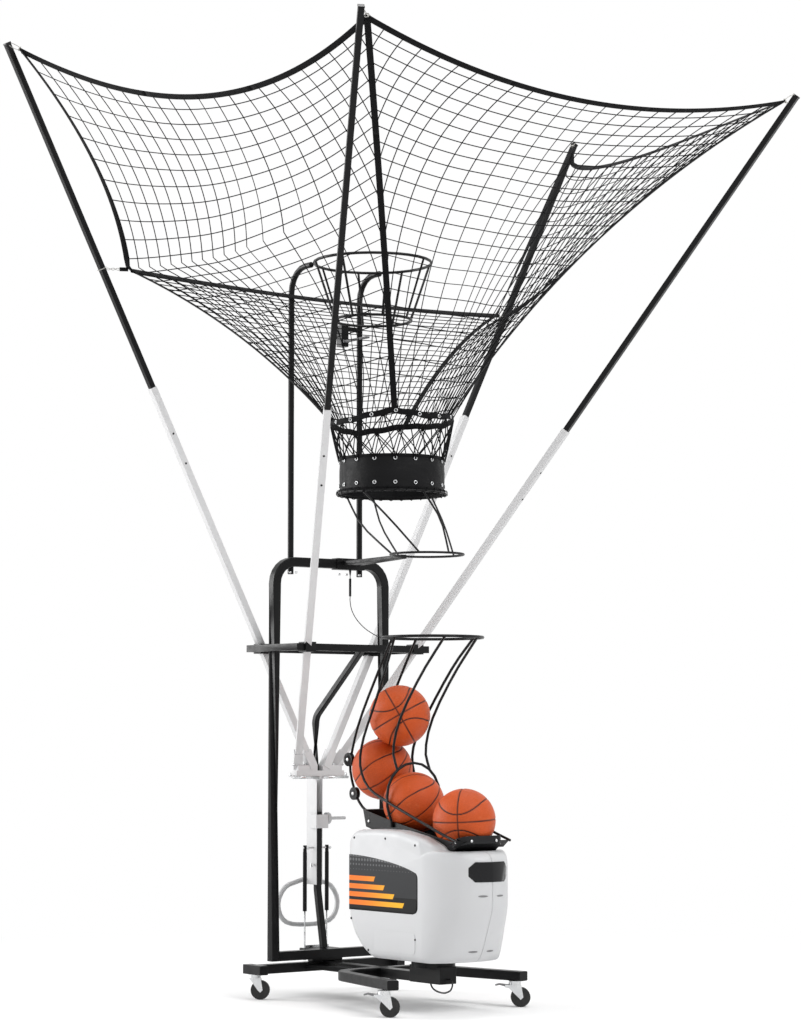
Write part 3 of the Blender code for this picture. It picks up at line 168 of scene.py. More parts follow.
class Form:
    """A mesh put together from point arrays and faces, with two surface lengths and a mark per point."""

    def __init__(self):
        self.points, self.faces, self.lengths, self.marks, self.count = [], [], [], [], 0

    def add(self, points, faces, lengths=None, mark=0.0):
        points = np.asarray(points, float).reshape(-1, 3)
        lengths = np.zeros((len(points), 2)) if lengths is None else np.asarray(lengths, float).reshape(-1, 2)
        self.points.append(points)
        self.lengths.append(lengths)
        self.marks.append(np.broadcast_to(np.asarray(mark, float).reshape(-1), len(points)))
        faces = faces.tolist() if isinstance(faces, np.ndarray) else faces
        self.faces += [[n + self.count for n in face] for face in faces]
        self.count += len(points)
        return self

    def piece(self, name, key, body=None, wall=None, merge=0.0, smooth=True, sharp=None):
        """The finished object in the row's frame, with outward faces, a UV map in metres and its marks.
        wall is a sheet's thickness and the side that it grows to; merge joins points that lie closer."""
        mesh = bpy.data.meshes.new(name)
        mesh.from_pydata((np.vstack(self.points) + SHIFT).tolist(), [], self.faces)
        corner = np.zeros(len(mesh.loops), np.int32)
        mesh.loops.foreach_get("vertex_index", corner)
        lengths = np.vstack(self.lengths)[corner]
        mesh.uv_layers.new(name="surface").data.foreach_set("uv", lengths.ravel().astype(np.float32))
        marks = mesh.attributes.new("mark", "FLOAT", "POINT")
        marks.data.foreach_set("value", np.concatenate(self.marks).astype(np.float32))
        mesh.polygons.foreach_set("use_smooth", np.full(len(mesh.polygons), smooth))
        mesh.update()
        shape = bmesh.new()
        shape.from_mesh(mesh)
        if merge:
            bmesh.ops.remove_doubles(shape, verts=shape.verts, dist=merge)
        bmesh.ops.recalc_face_normals(shape, faces=shape.faces)
        shape.to_mesh(mesh)
        shape.free()
        if sharp is not None:
            mesh.set_sharp_from_angle(angle=math.radians(sharp))
        thing = placed(name, mesh, key)
        if wall:
            sheet = thing.modifiers.new("wall", "SOLIDIFY")
            sheet.thickness, sheet.offset = wall
        if body:
            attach(thing, body)
        return thing


def placed(name, mesh, key):
    """An object for a mesh that is in place, with the finish of its key."""
    mesh.materials.append(MATERIALS[key])
    thing = bpy.data.objects.new(name, mesh)
    bpy.context.scene.collection.objects.link(thing)
    return thing


def unit(vectors):
    return vectors / np.maximum(np.linalg.norm(vectors, axis=-1, keepdims=True), 1e-12)


def directions(path, closed=False):
    """Unit tangents: the difference of each point's two neighbours."""
    if closed:
        return unit(np.roll(path, -1, 0) - np.roll(path, 1, 0))
    return unit(np.gradient(path, axis=0))


def smooth_path(points, count):
    """Catmull-Rom curve through points, sampled evenly along its length."""
    p = np.asarray(points, float)
    p = np.vstack((2 * p[:1] - p[1:2], p, 2 * p[-1:] - p[-2:-1]))
    t = np.linspace(0, 1, 24, endpoint=False)[None, :, None]
    a, b, c, d = (p[i:len(p) - 3 + i, None, :] for i in range(4))
    curve = 0.5 * (2 * b + (c - a) * t + (2 * a - 5 * b + 4 * c - d) * t ** 2
                   + (3 * b - a - 3 * c + d) * t ** 3)
    return resampled(np.vstack((curve.reshape(-1, 3), p[-2:-1])), count)


def resampled(curve, count, closed=False):
    """The same line with points at even lengths; a closed line leaves out its repeated last point."""
    reach = run(curve)
    at = np.linspace(0, reach[-1], count + 1)[:-1] if closed else np.linspace(0, reach[-1], count)
    return np.stack([np.interp(at, reach, curve[:, k]) for k in range(3)], 1)


def rounded_path(corners, radius, steps):
    """Straight runs whose inner corners are quadratic blends of the same reach."""
    p = np.asarray(corners, float)
    out = [p[:1]]
    t = np.linspace(0, 1, steps)[:, None]
    for before, here, after in zip(p, p[1:], p[2:]):
        start, end = here + unit(before - here) * radius, here + unit(after - here) * radius
        middle = here * 0.62 + (start + end) * 0.19
        control = 2 * middle - (start + end) / 2
        out.append((1 - t) ** 2 * start + 2 * t * (1 - t) * control + t ** 2 * end)
    return np.vstack(out + [p[-1:]])


def round_section(radius, sides):
    """A circle's points: radius (cos, sin)."""
    return np.stack((np.cos(turns(sides)), np.sin(turns(sides))), 1) * radius


def square_section(wide, high, corner, steps=3):
    """A rectangle with quarter-circle corners."""
    parts = []
    for quarter, (sx, sy) in enumerate(((1, 1), (-1, 1), (-1, -1), (1, -1))):
        angle = (quarter + np.linspace(0, 1, steps)) * math.pi / 2
        parts.append(np.stack((sx * (wide / 2 - corner) + corner * np.cos(angle),
                               sy * (high / 2 - corner) + corner * np.sin(angle)), 1))
    return np.vstack(parts)


def sweep(form, path, section, across=None, closed=False):
    """Carry a section along a path: point = path + across * s0 + normal * s1, normal = tangent x across."""
    path = np.asarray(path, float)
    tangent = directions(path, closed)
    if across is None:
        ways = np.linalg.svd(path - path.mean(0), full_matrices=True)[2]
        across = ways[1] if abs(ways[2] @ tangent[0]) > 0.9 else ways[2]
    across = np.broadcast_to(np.asarray(across, float), path.shape)
    across = unit(across - tangent * (across * tangent).sum(1, keepdims=True))
    normal = np.cross(tangent, across)
    points = path[:, None] + across[:, None] * section[None, :, :1] + normal[:, None] * section[None, :, 1:]
    n, m = len(path), len(section)
    faces = grid_faces(n, m, closed, True).tolist()
    if not closed:
        faces += [list(range(m))[::-1], list(range((n - 1) * m, n * m))]
    return form.add(points, faces, grid_lengths(run(path), run(section)))


def run(line):
    """The length along a line up to each of its points."""
    return np.concatenate(([0], np.cumsum(np.linalg.norm(np.diff(line, axis=0), axis=1))))


def grid_lengths(down, over):
    """Each grid point's two lengths: down its column and along its row."""
    return np.stack(np.broadcast_arrays(down[:, None], over[None, :]), -1)


def circle(centre, radius, count, axis=UP):
    """Points evenly round a circle about an axis."""
    axis = unit(np.asarray(axis, float))
    side = unit(np.cross(axis, (0.31, 0.95, 0.05)))
    angle = turns(count)
    ring = np.cos(angle)[:, None] * side + np.sin(angle)[:, None] * np.cross(axis, side)
    return np.asarray(centre, float) + ring * radius


def turns(count):
    """Even angles round one turn, without the last."""
    return np.arange(count) * 2 * math.pi / count


def about_funnel(radius, angle, z):
    """Points at a radius, an angle and a height round the funnel's upright axis."""
    return np.stack(np.broadcast_arrays(radius * np.cos(angle), FUNNEL_Y + radius * np.sin(angle), z), -1)


def stud(form, centre, axis, radius, height):
    """A domed fastener head on centre: its (radius, height) profile, turned about the axis."""
    sides = 20
    profile = np.array(((0, 0), (radius, 0), (radius, height * 0.45), (radius * 0.8, height * 0.85),
                        (radius * 0.35, height), (0, height)))
    ring = circle((0, 0, 0), 1.0, sides, axis)
    points = (np.asarray(centre, float) + profile[None, :, :1] * ring[:, None]
              + profile[None, :, 1:] * unit(np.asarray(axis, float)))
    form.add(points, grid_faces(sides, len(profile), True), grid_lengths(turns(sides) * radius, run(profile)))


# Materials

class Paint:
    """A material's nodes. Colours and roughness come from noise over the object's own coordinates."""

    def __init__(self, name, colour, rough, metal=0.0, specular=0.5, coat=0.0, sheen=0.0):
        self.material = bpy.data.materials.new(name)
        self.material.use_nodes = True
        self.tree = self.material.node_tree
        self.shader = self.tree.nodes["Principled BSDF"]
        self.colour = self.material.diffuse_color = tuple(colour) + (1.0,)
        self.rough, self.height = rough, None
        for socket, value in (("Base Color", self.colour), ("Roughness", rough), ("Metallic", metal),
                              ("Specular IOR Level", specular), ("Coat Weight", coat),
                              ("Coat Roughness", 0.08), ("Sheen Weight", sheen)):
            self.shader.inputs[socket].default_value = value
        self.place = self.node("ShaderNodeTexCoord").outputs["Object"]
        self.surface = self.node("ShaderNodeUVMap").outputs["UV"]

    def node(self, kind, **values):
        made = self.tree.nodes.new(kind)
        for key, value in values.items():
            setattr(made, key, value)
        return made

    def link(self, out, socket):
        """Join an output to a socket, or set the socket to a value."""
        if hasattr(out, "is_output"):
            self.tree.links.new(out, socket)
        else:
            socket.default_value = out
        return self

    def noise(self, scale, detail=3.0, stretch=None):
        """Noise from 0 to 1; stretch scales the coordinates along each axis first."""
        made = self.node("ShaderNodeTexNoise")
        made.inputs["Scale"].default_value = scale
        made.inputs["Detail"].default_value = detail
        where = self.place
        if stretch:
            mapping = self.node("ShaderNodeMapping")
            mapping.inputs["Scale"].default_value = stretch
            self.link(where, mapping.inputs["Vector"])
            where = mapping.outputs["Vector"]
        self.link(where, made.inputs["Vector"])
        return made.outputs["Fac"]

    def cells(self, scale):
        """Distance from the centre of the nearest cell."""
        made = self.node("ShaderNodeTexVoronoi")
        made.inputs["Scale"].default_value = scale
        self.link(self.place, made.inputs["Vector"])
        return made.outputs["Distance"]

    def waves(self, scale, direction):
        """Bands along one way of the surface lengths, for weave and strands."""
        made = self.node("ShaderNodeTexWave", wave_type="BANDS", bands_direction=direction)
        made.inputs["Scale"].default_value = scale
        self.link(self.surface, made.inputs["Vector"])
        return made.outputs["Fac"]

    def math(self, operation, a, b=0.0):
        made = self.node("ShaderNodeMath", operation=operation)
        self.link(a, made.inputs[0]).link(b, made.inputs[1])
        return made.outputs[0]

    def times(self, a, b):
        return self.math("MULTIPLY", a, b)

    def step(self, value, low, high, to_low=0.0, to_high=1.0):
        """A smooth rise of value from low to high."""
        made = self.node("ShaderNodeMapRange", interpolation_type="SMOOTHSTEP")
        for socket, number in zip(made.inputs[:5], (value, low, high, to_low, to_high)):
            self.link(number, socket)
        return made.outputs["Result"]

    def blend(self, share, a, b):
        """Mix of two colours by share."""
        made = self.node("ShaderNodeMix", data_type="RGBA")
        self.link(share, made.inputs[0])
        for socket, value in ((made.inputs[6], a), (made.inputs[7], b)):
            self.link(tuple(value) + (1.0,) if isinstance(value, (tuple, list)) else value, socket)
        return made.outputs[2]

    def tone(self, factor, lift=0.0):
        """The colour scaled by a factor and lifted, at most 1."""
        return tuple(min(c * factor + lift, 1.0) for c in self.colour[:3])

    def shade(self, share, dark, light):
        """The colour between a darker and a lighter tone of itself."""
        return self.paint(self.blend(share, self.tone(dark), self.tone(light)))

    def paint(self, colour):
        self.link(colour, self.shader.inputs["Base Color"])
        self.base = colour
        return self

    def over(self, share, colour):
        """Lay a colour over what is painted so far."""
        return self.paint(self.blend(share, self.base, colour))

    def gloss(self, share, spread=0.08):
        """Roughness that moves by spread either way."""
        return self.link(self.step(share, 0.25, 0.75, max(self.rough - spread, 0.02), self.rough + spread),
                         self.shader.inputs["Roughness"])

    def bump(self, height, distance, strength=1.0):
        made = self.node("ShaderNodeBump")
        made.inputs["Distance"].default_value = distance
        made.inputs["Strength"].default_value = strength
        self.link(height, made.inputs["Height"])
        if self.height is not None:
            self.link(self.height, made.inputs["Normal"])
        self.height = made.outputs["Normal"]
        return self.link(self.height, self.shader.inputs["Normal"])


def background_seen(tree):
    """1 where the white background shows: for camera, glossy and transmission rays."""
    path = tree.nodes.new("ShaderNodeLightPath")
    share = path.outputs["Is Camera Ray"]
    for name in ("Is Glossy Ray", "Is Transmission Ray"):
        either = tree.nodes.new("ShaderNodeMath")
        either.operation = "MAXIMUM"
        tree.links.new(share, either.inputs[0])
        tree.links.new(path.outputs[name], either.inputs[1])
        share = either.outputs[0]
    return share


def powder_coat(name, colour, rough=0.34, specular=0.17, mottle=(0.86, 1.12), peel=0.55, spread=0.07):
    """Baked powder paint: a fine orange peel, a faint cloudy tone and small dull scuffs."""
    p = Paint(name, colour, rough, specular=specular)
    scuff = p.step(p.noise(38.0, 6.0, stretch=(1.0, 1.0, 0.25)), 0.60, 0.72)
    p.shade(p.noise(7.0, 4.0), *mottle).over(p.times(scuff, 0.25), p.tone(1.10, 0.004))
    p.gloss(p.noise(24.0), spread).bump(p.noise(620.0, 2.0), 0.00025, peel)
    return p.material


def zinc_plate(name):
    """Bright zinc: soft spangle, drawn lines and slightly blue and yellow patches."""
    bright = (0.62, 0.63, 0.64)
    p = Paint(name, bright, 0.30, metal=1.0)
    p.paint(p.blend(p.noise(26.0), (0.56, 0.58, 0.62), (0.70, 0.69, 0.65)))
    p.over(p.step(p.cells(190.0), 0.1, 0.7), bright)
    p.gloss(p.noise(90.0, 4.0, (1.0, 1.0, 0.15)), 0.10)
    p.bump(p.noise(420.0, 3.0, (1.0, 1.0, 0.2)), 0.00012, 0.5)
    return p.material


def moulded(name, colour, rough=0.42, grain=900.0, depth=0.00018):
    """Moulded plastic: a fine spark-eroded grain, faint flow clouds and handling marks."""
    p = Paint(name, colour, rough, specular=0.45)
    rub = p.step(p.noise(19.0, 8.0), 0.62, 0.78)
    p.shade(p.noise(3.2, 4.0), 0.96, 1.03).over(p.times(rub, 0.25), p.tone(0.86))
    p.gloss(p.noise(14.0, 4.0), 0.06).bump(p.cells(grain), depth, 0.45)
    return p.material


def tyre(name):
    """Caster rubber: matt, dusty on the tread, with a fine skin."""
    p = Paint(name, (0.012, 0.012, 0.012), 0.62, specular=0.35)
    dust = p.step(p.noise(70.0, 6.0), 0.45, 0.75)
    p.shade(p.noise(30.0), 0.8, 1.3).over(p.times(dust, 0.30), (0.070, 0.066, 0.060))
    p.gloss(dust, 0.12).bump(p.noise(800.0), 0.0003, 0.5)
    return p.material


def webbing(name, colour):
    """Woven tape: twill across the run, ribs along it, a little fuzz and a dull sheen."""
    p = Paint(name, colour, 0.72, specular=0.10, sheen=0.03)
    twill, rib = p.waves(190.0, "DIAGONAL"), p.waves(150.0, "X")
    fuzz = p.step(p.noise(260.0, 4.0), 0.55, 0.8)
    p.shade(p.times(twill, rib), 0.75, 1.9).over(p.times(fuzz, 0.35), p.tone(2.0, 0.003))
    p.bump(twill, 0.0006, 0.7).bump(rib, 0.0004, 0.5)
    return p.material


def twisted_cord(name, colour):
    """Braided net cord: strands that cross at a slant and a few lighter fibres."""
    p = Paint(name, colour, 0.66, specular=0.08)
    strand = p.waves(330.0, "DIAGONAL")
    p.shade(strand, 0.7, 2.0).over(p.step(p.noise(500.0), 0.55, 0.8), p.tone(2.0, 0.002))
    p.bump(strand, 0.0005, 0.8)
    return p.material


def coated_fabric(name, colour):
    """Vinyl-faced cloth: a leathery grain over a faint weave, softly creased, with painted shade in the
    creases' hollows and painted light on their ridges.
    """
    p = Paint(name, colour, 0.46, specular=0.12)
    crease_height_and_shade = p.noise(9.0, 5.0, (1.0, 1.0, 2.6))
    # Painted shade and light: the colour follows the creases' height, darker in the hollows and lighter on
    # the ridges
    p.shade(crease_height_and_shade, 0.7, 1.7).gloss(p.noise(40.0))
    p.bump(crease_height_and_shade, 0.010, 0.35).bump(p.cells(420.0), 0.0005, 0.5).bump(p.waves(210.0, "X"), 0.00025, 0.4)
    return p.material


def pebbled_rubber(name, colour):
    """Ball cover: raised round pebbles, painted shade on the lower ground between them, smooth black channels
    where marked.
    """
    p = Paint(name, colour, 0.50, specular=0.25)
    ground_and_shade = p.step(p.cells(330.0), 0.25, 0.65)
    scuff = p.step(p.noise(48.0, 6.0), 0.60, 0.75)
    channel = p.node("ShaderNodeAttribute", attribute_name="mark").outputs["Fac"]
    # Painted shade: the ground between the pebbles, where the bump is low, is darkened toward 0.45 of the
    # colour
    p.shade(p.noise(11.0, 4.0), 0.84, 1.12).over(p.times(ground_and_shade, 0.32), p.tone(0.45))
    p.over(p.times(scuff, 0.16), (0.62, 0.24, 0.10)).over(channel, (0.010, 0.008, 0.008))
    p.link(p.step(channel, 0.0, 1.0, 0.46, 0.58), p.shader.inputs["Roughness"])
    p.bump(p.times(p.math("SUBTRACT", 1.0, ground_and_shade), p.math("SUBTRACT", 1.0, channel)), 0.0009, 0.55)
    return p.material


def dark_gloss(name):
    """Polished black acrylic with a hint of fine wipe marks."""
    p = Paint(name, (0.006, 0.006, 0.007), 0.12, specular=0.20, coat=0.10)
    p.shade(p.noise(5.0), 0.7, 1.6).gloss(p.noise(60.0, 6.0, (1.0, 0.3, 1.0)), 0.05)
    p.bump(p.noise(12.0, 2.0), 0.0006, 0.15)
    return p.material


def side_film(name, accent):
    """Printed film: charcoal over black, four level bands that step back and warm to amber, and above them
    a field of dots. A dot's distance is sqrt(x^2 + y^2) within its square, and its size grows with height."""
    p = Paint(name, (0.020, 0.021, 0.022), 0.36, specular=0.12)
    split = p.node("ShaderNodeSeparateXYZ")
    p.link(p.surface, split.inputs[0])
    along, up = split.outputs["X"], split.outputs["Y"]
    p.paint(p.blend(p.step(up, 0.058, 0.0585), (0.003, 0.003, 0.003), (0.026, 0.027, 0.029)))
    warm = p.blend(p.step(along, 0.04, 0.34), tuple(accent), (0.90, 0.46, 0.020))
    for index in range(4):
        low = 0.020 + index * 0.031
        inside = p.times(p.step(up, low, low + 0.0006), p.step(up, low + 0.0190, low + 0.0196, 1, 0))
        end = p.math("ADD", p.times(up, 0.55), 0.330 - index * 0.078)
        p.over(p.times(inside, p.step(p.math("SUBTRACT", end, along), 0.0, 0.0008)), warm)
    cell = [p.math("SUBTRACT", p.math("FRACT", p.math("DIVIDE", way, 0.0185)), 0.5) for way in (along, up)]
    far = p.math("SQRT", p.math("ADD", *(p.times(way, way) for way in cell)))
    size = p.times(p.step(up, 0.130, 0.205), 0.34)
    p.over(p.step(p.math("SUBTRACT", size, far), -0.02, 0.04), (0.120, 0.122, 0.127))
    p.gloss(p.noise(30.0), 0.05).bump(p.noise(500.0, 2.0), 0.0001, 0.3)
    return p.material


def tie_cord(name):
    """Pale twisted twine."""
    p = Paint(name, (0.50, 0.49, 0.46), 0.6, specular=0.3)
    strand = p.waves(420.0, "DIAGONAL")
    p.shade(strand, 0.6, 1.2).bump(strand, 0.0004, 0.8)
    return p.material


def studio_floor(name, colour):
    """Pale floor: a diffuse part that keeps the shadow, and a white part that takes over further out."""
    p = Paint(name, colour, 0.9, specular=0.0)
    p.shade(p.noise(0.6, 2.0), 0.995, 1.0)
    lift, mix = p.node("ShaderNodeEmission"), p.node("ShaderNodeMixShader")
    lift.inputs["Color"].default_value = (1, 1, 1, 1)
    level = p.node("ShaderNodeVectorMath", operation="LENGTH")
    p.link(p.place, level.inputs[0])
    fade = p.step(level.outputs["Value"], 1.3, 4.2, 0.06, 1.0)
    p.link(p.times(background_seen(p.tree), fade), mix.inputs[0])
    p.link(p.shader.outputs[0], mix.inputs[1]).link(lift.outputs[0], mix.inputs[2])
    p.link(mix.outputs[0], p.tree.nodes["Material Output"].inputs["Surface"])
    return p.material


MATERIALS = {}


def make_materials(scene):
    """Each finish by its key; the floor's comes with the stage."""
    net, ball = scene.shooter_net, scene.shooter_ball
    casing, metal = scene.shooter_casing, scene.shooter_frame
    MATERIALS.update({
        "black": powder_coat("black_powder_coat", metal.black),
        "white": powder_coat("white_powder_coat", metal.white, 0.42, 0.4, (0.95, 1.04), 0.08),
        "zinc": zinc_plate("bright_zinc"),
        "rubber": tyre("caster_rubber"),
        "shell": moulded("casing_plastic", casing.colour),
        "grey": moulded("handle_plastic", (0.50, 0.505, 0.51), 0.5, 700.0),
        "tray": powder_coat("tray_coat", (0.005, 0.005, 0.0055), 0.30, 0.14, (0.94, 1.06), 0.3, 0.03),
        "pedal": moulded("pedal_plastic", (0.16, 0.16, 0.165), 0.5, 600.0),
        "lever": moulded("lever_rubber", (0.10, 0.10, 0.105), 0.6, 260.0, 0.0008),
        "gloss": dark_gloss("dark_window"),
        "ball": pebbled_rubber("ball_rubber", ball.colour),
        "cord": twisted_cord("net_cord", net.colour),
        "tape": webbing("net_webbing", net.colour),
        "collar": coated_fabric("collar_vinyl", (0.005, 0.005, 0.0055)),
        "film": side_film("side_film", casing.accent),
        "tie": tie_cord("tie_cord"),
        # Painted shade: a dark grey for the sheets that stand for the shaded hollows of the casing's finger
        # notches
        "notch_painted_shade": moulded("painted_notch_shade", (0.20, 0.20, 0.205), 0.6, 700.0),
        "cable": moulded("cable_jacket", (0.012, 0.012, 0.013), 0.4, 500.0),
    })


# Which finish each node's name begins with
NODE_FINISH = {
    "black": "base_ front_wishbone foot_pad frame_foot upright_frame mast_leg spreader basket shot_sensor "
             "chute strut_cylinder pole_upper drive_motor cable_plug hopper_cage",
    "white": "mast_sleeve pole_hub pole_lower",
    "zinc": "strut_rods lock_plunger throw_arm caster_fork",
    "rubber": "caster_wheel", "pedal": "caster_brake", "tray": "hopper_tray",
    "grey": "loop_handle clamp_knob", "lever": "sensor_lever", "gloss": "body_window",
    "shell": "body_left body_right", "ball": "ball_", "cord": "net_", "collar": "collar",
    "cable": "sensor_cable power_cord",
}
OWN_PIECES = ("shell", "ball", "cord", "collar", "cable")
ROUND_NODES = ("basket", "chute", "hopper_cage", "loop_handle", "strut_rods", "body_window", "cable_plug")
# Past which angle an edge is sharp, in degrees: on curved nodes, and on those with bevelled edges
CURVED_SHARP = 62
BEVELLED_SHARP = 38


def finish_nodes(bevel):
    """Give each node its finish, and dress those that no piece of its own stands for."""
    for key, beginnings in NODE_FINISH.items():
        for node, thing in frame["nodes"].items():
            if node.startswith(tuple(beginnings.split())):
                thing.data.materials.clear()
                thing.data.materials.append(MATERIALS[key])
                if key not in OWN_PIECES:
                    if key == "rubber" or node in ROUND_NODES:
                        dressed(node, key, 0.0, CURVED_SHARP)
                    else:
                        dressed(node, key, bevel, BEVELLED_SHARP)


def dressed(node, key, bevel, sharp):
    """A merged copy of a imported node: flat triangles dissolved, edges rounded, curves shaded smooth."""
    source = frame["nodes"][node]
    shape = bmesh.new()
    shape.from_mesh(source.data)
    bmesh.ops.remove_doubles(shape, verts=shape.verts, dist=0.00003)
    bmesh.ops.dissolve_limit(shape, angle_limit=math.radians(0.5), verts=shape.verts, edges=shape.edges)
    mesh = bpy.data.meshes.new(node + "_dressed")
    shape.to_mesh(mesh)
    shape.free()
    mesh.polygons.foreach_set("use_smooth", np.ones(len(mesh.polygons), bool))
    mesh.set_sharp_from_angle(angle=math.radians(sharp))
    mesh.materials.clear()
    thing = placed(node + "_dressed", mesh, key)
    if bevel:
        rounding = thing.modifiers.new("rounded edges", "BEVEL")
        rounding.width = bevel
        rounding.segments = 2
        rounding.limit_method = "ANGLE"
        rounding.angle_limit = math.radians(sharp)
        rounding.harden_normals = True
    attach(thing, source["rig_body"])
    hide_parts(node)


# Net

# The funnel's band: angles in degrees round it, and how far it stands over BAND_Z there
BAND_TURNS = np.array((-55.0, 0.0, 40.0, 90.0, 140.0, 188.0, 235.0, 270.0, 305.0))
BAND_RISES = np.array((0.014, 0.002, 0.012, -0.022, -0.006, -0.014, 0.020, 0.002, 0.014))


def band_height(angle_deg):
    """The band's height: BAND_Z plus a rise that runs straight from seam to seam, plus a small wave."""
    angle = (np.asarray(angle_deg, float) + 55.0) % 360.0 - 55.0
    return BAND_Z + np.interp(angle, BAND_TURNS, BAND_RISES) + 0.002 * np.sin(np.radians(angle) * 16)


def band(angle_deg):
    """A point of the funnel's lower band, by its angle."""
    return about_funnel(BAND_RADIUS, np.radians(np.asarray(angle_deg, float)), band_height(angle_deg))


def net_corner(foot, tip):
    """Where the net's eyelet hangs: short of the tip towards the funnel, and clear of the pole."""
    inwards = unit(band(270.0) - tip)
    pole = unit(foot - tip)
    return tip + inwards * 0.045 + unit(inwards - pole * (inwards @ pole)) * 0.018


CORNERS = {letter: net_corner(*ends) for letter, ends in POLES.items()}
# How far the seams bow at their middles
SEAM_BOW = 0.115
LOW_BOW = 0.055
SIDE_BOW = np.array((0.055, -0.065, -0.02))


def bowed(start, end, v, bow):
    """A line from start to end that bows at its middle: start + (end - start) v + 4 bow v (1 - v)."""
    v = np.asarray(v, float)[..., None]
    return start + (end - start) * v + np.asarray(bow) * 4 * v * (1 - v)


def seam(letter, v):
    """A seam of the net from the band, v = 0, to its tip, v = 1. The rear pair turns at LOW_SHARE, where the
    low corner is."""
    v = np.asarray(v, float)
    side = 1.0 if letter in "cd" else -1.0
    if letter in "bc":
        low = band(305.0 if letter == "c" else 235.0)
        return bowed(low, CORNERS[letter], v, np.array((-side * 0.36, 0.50, 0.74)) * SEAM_BOW)
    turn = LOW_CORNER * (side, 1, 1)
    lower = bowed(band(40.0 if side > 0 else 140.0), turn, np.clip(v / LOW_SHARE, 0, 1),
                  np.array((-side * 0.5, -0.3, 0.8)) * LOW_BOW)
    upper = bowed(turn, CORNERS[letter], np.clip((v - LOW_SHARE) / (1 - LOW_SHARE), 0, 1),
                  SIDE_BOW * (-side, 1, 1))
    return np.where((v < LOW_SHARE)[..., None], lower, upper)


def hang_even(u):
    """A droop of 4 u (1 - u), 1 at the middle."""
    return 4 * u * (1 - u)


def hang_skew(u):
    """A droop that falls steeply at u = 0 and eases out to u = 1, at most about 1."""
    return 1.95 * u ** 0.30 * (1 - u) ** 1.2


# Each panel: its two seams, the band's angles below them, how far it hangs and leans inwards, the part of a
# seam that it runs up, and how far its middle bows outwards
PLAIN_PANEL = dict(part=1.0, inward=(0.0, 0.0, 0.0), hang=hang_even, bow=0.0)
PANELS = {
    "front": dict(seams="cb", angles=(305.0, 235.0), sag=0.135, inward=(0.0, 0.04, 0.0)),
    "left": dict(seams="ab", angles=(140.0, 235.0), sag=0.205, inward=(0.11, 0.03, 0.0)),
    "right": dict(seams="dc", angles=(40.0, -55.0), sag=0.130, inward=(-0.03, 0.0, 0.0), hang=hang_skew),
    "rear": dict(seams="ad", angles=(140.0, 40.0), sag=0.035, part=LOW_SHARE, bow=0.058),
}


def panel_point(name, u, v):
    """A panel's surface: a row between its two seams, rounded to the band's arc below and hanging above."""
    u, v = np.broadcast_arrays(np.asarray(u, float), np.asarray(v, float))
    spec = PLAIN_PANEL | PANELS[name]
    start, finish = (seam(letter, v * spec["part"]) for letter in spec["seams"])
    first, last = spec["angles"]
    share = u[..., None]
    point = start * (1 - share) + finish * share
    chord = band(first) * (1 - share) + band(last) * share
    point = point + (band(first + (last - first) * u) - chord) * ((1 - v) ** 2)[..., None]
    droop = spec["hang"](u) * v ** 2
    point = point + np.asarray(spec["inward"]) * droop[..., None]
    point[..., 2] -= spec["sag"] * droop
    point[..., 1] -= spec["bow"] * 4 * u * (1 - u) * v
    ripple = np.sin(11 * u + 7 * v) * np.sin(9 * v - 4 * u + 1.0) * hang_even(u) * hang_even(np.clip(v, 0, 1))
    point[..., 2] += 0.007 * ripple
    point[..., 0] += 0.005 * ripple
    return point


def mesh_lines(name, columns, rows):
    """The panel's cords: level rows, and columns that drift towards the second seam and end there."""
    lines = []
    fine = np.linspace(0, 1, rows * 2 + 1)
    drift = 0.0 if name == "rear" else 0.44
    for column in range(1, columns):
        top = column / columns
        u = top + (1 - fine) * drift * np.clip((top - 0.5) / 0.22, 0, 1)
        first = np.flatnonzero(u <= 1.0)[0]
        lines.append(panel_point(name, np.minimum(u[first:], 1.0), fine[first:]))
    wide = np.linspace(0, 1, columns * 2 + 1)
    return lines + [panel_point(name, wide, np.full(len(wide), row / rows)) for row in range(1, rows)]


# From CORNER_START out a corner begins to follow its pole, and from CORNER_END out it does so fully
CORNER_START = 1.10
CORNER_WAY = {key: unit((CORNERS[key] - (0, FUNNEL_Y, 0)) * (1, 1, 0)) for key in "abcd"}


def zone_of(points):
    """0 for the net's middle and 1 to 4 for the corners a to d, by how far out a point lies."""
    reach = np.stack([(points - (0, FUNNEL_Y, 0)) @ CORNER_WAY[key] for key in "abcd"], -1)
    best = reach.argmax(-1)
    return np.where(reach.max(-1) > CORNER_START, best + 1, 0)


def split_runs(path):
    """Cut a line where it passes from the net's middle to a corner; the runs share their end points."""
    zone = zone_of((path[1:] + path[:-1]) / 2)
    breaks = np.flatnonzero(np.diff(zone)) + 1
    edges = [0, *breaks.tolist(), len(zone)]
    return [(int(zone[a]), a, b + 1) for a, b in zip(edges, edges[1:])]


def tape_section(width, thick):
    """A flat tape's section, with edges that are nearly round."""
    return square_section(width, thick, thick * 0.45, 3)


def join_net(name, form, zone, key):
    """One zone of the net, made as an object with its transform baked in."""
    thing = form.piece(name, key)
    if zone == 0:
        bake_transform(thing)
    else:
        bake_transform(thing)
    return thing


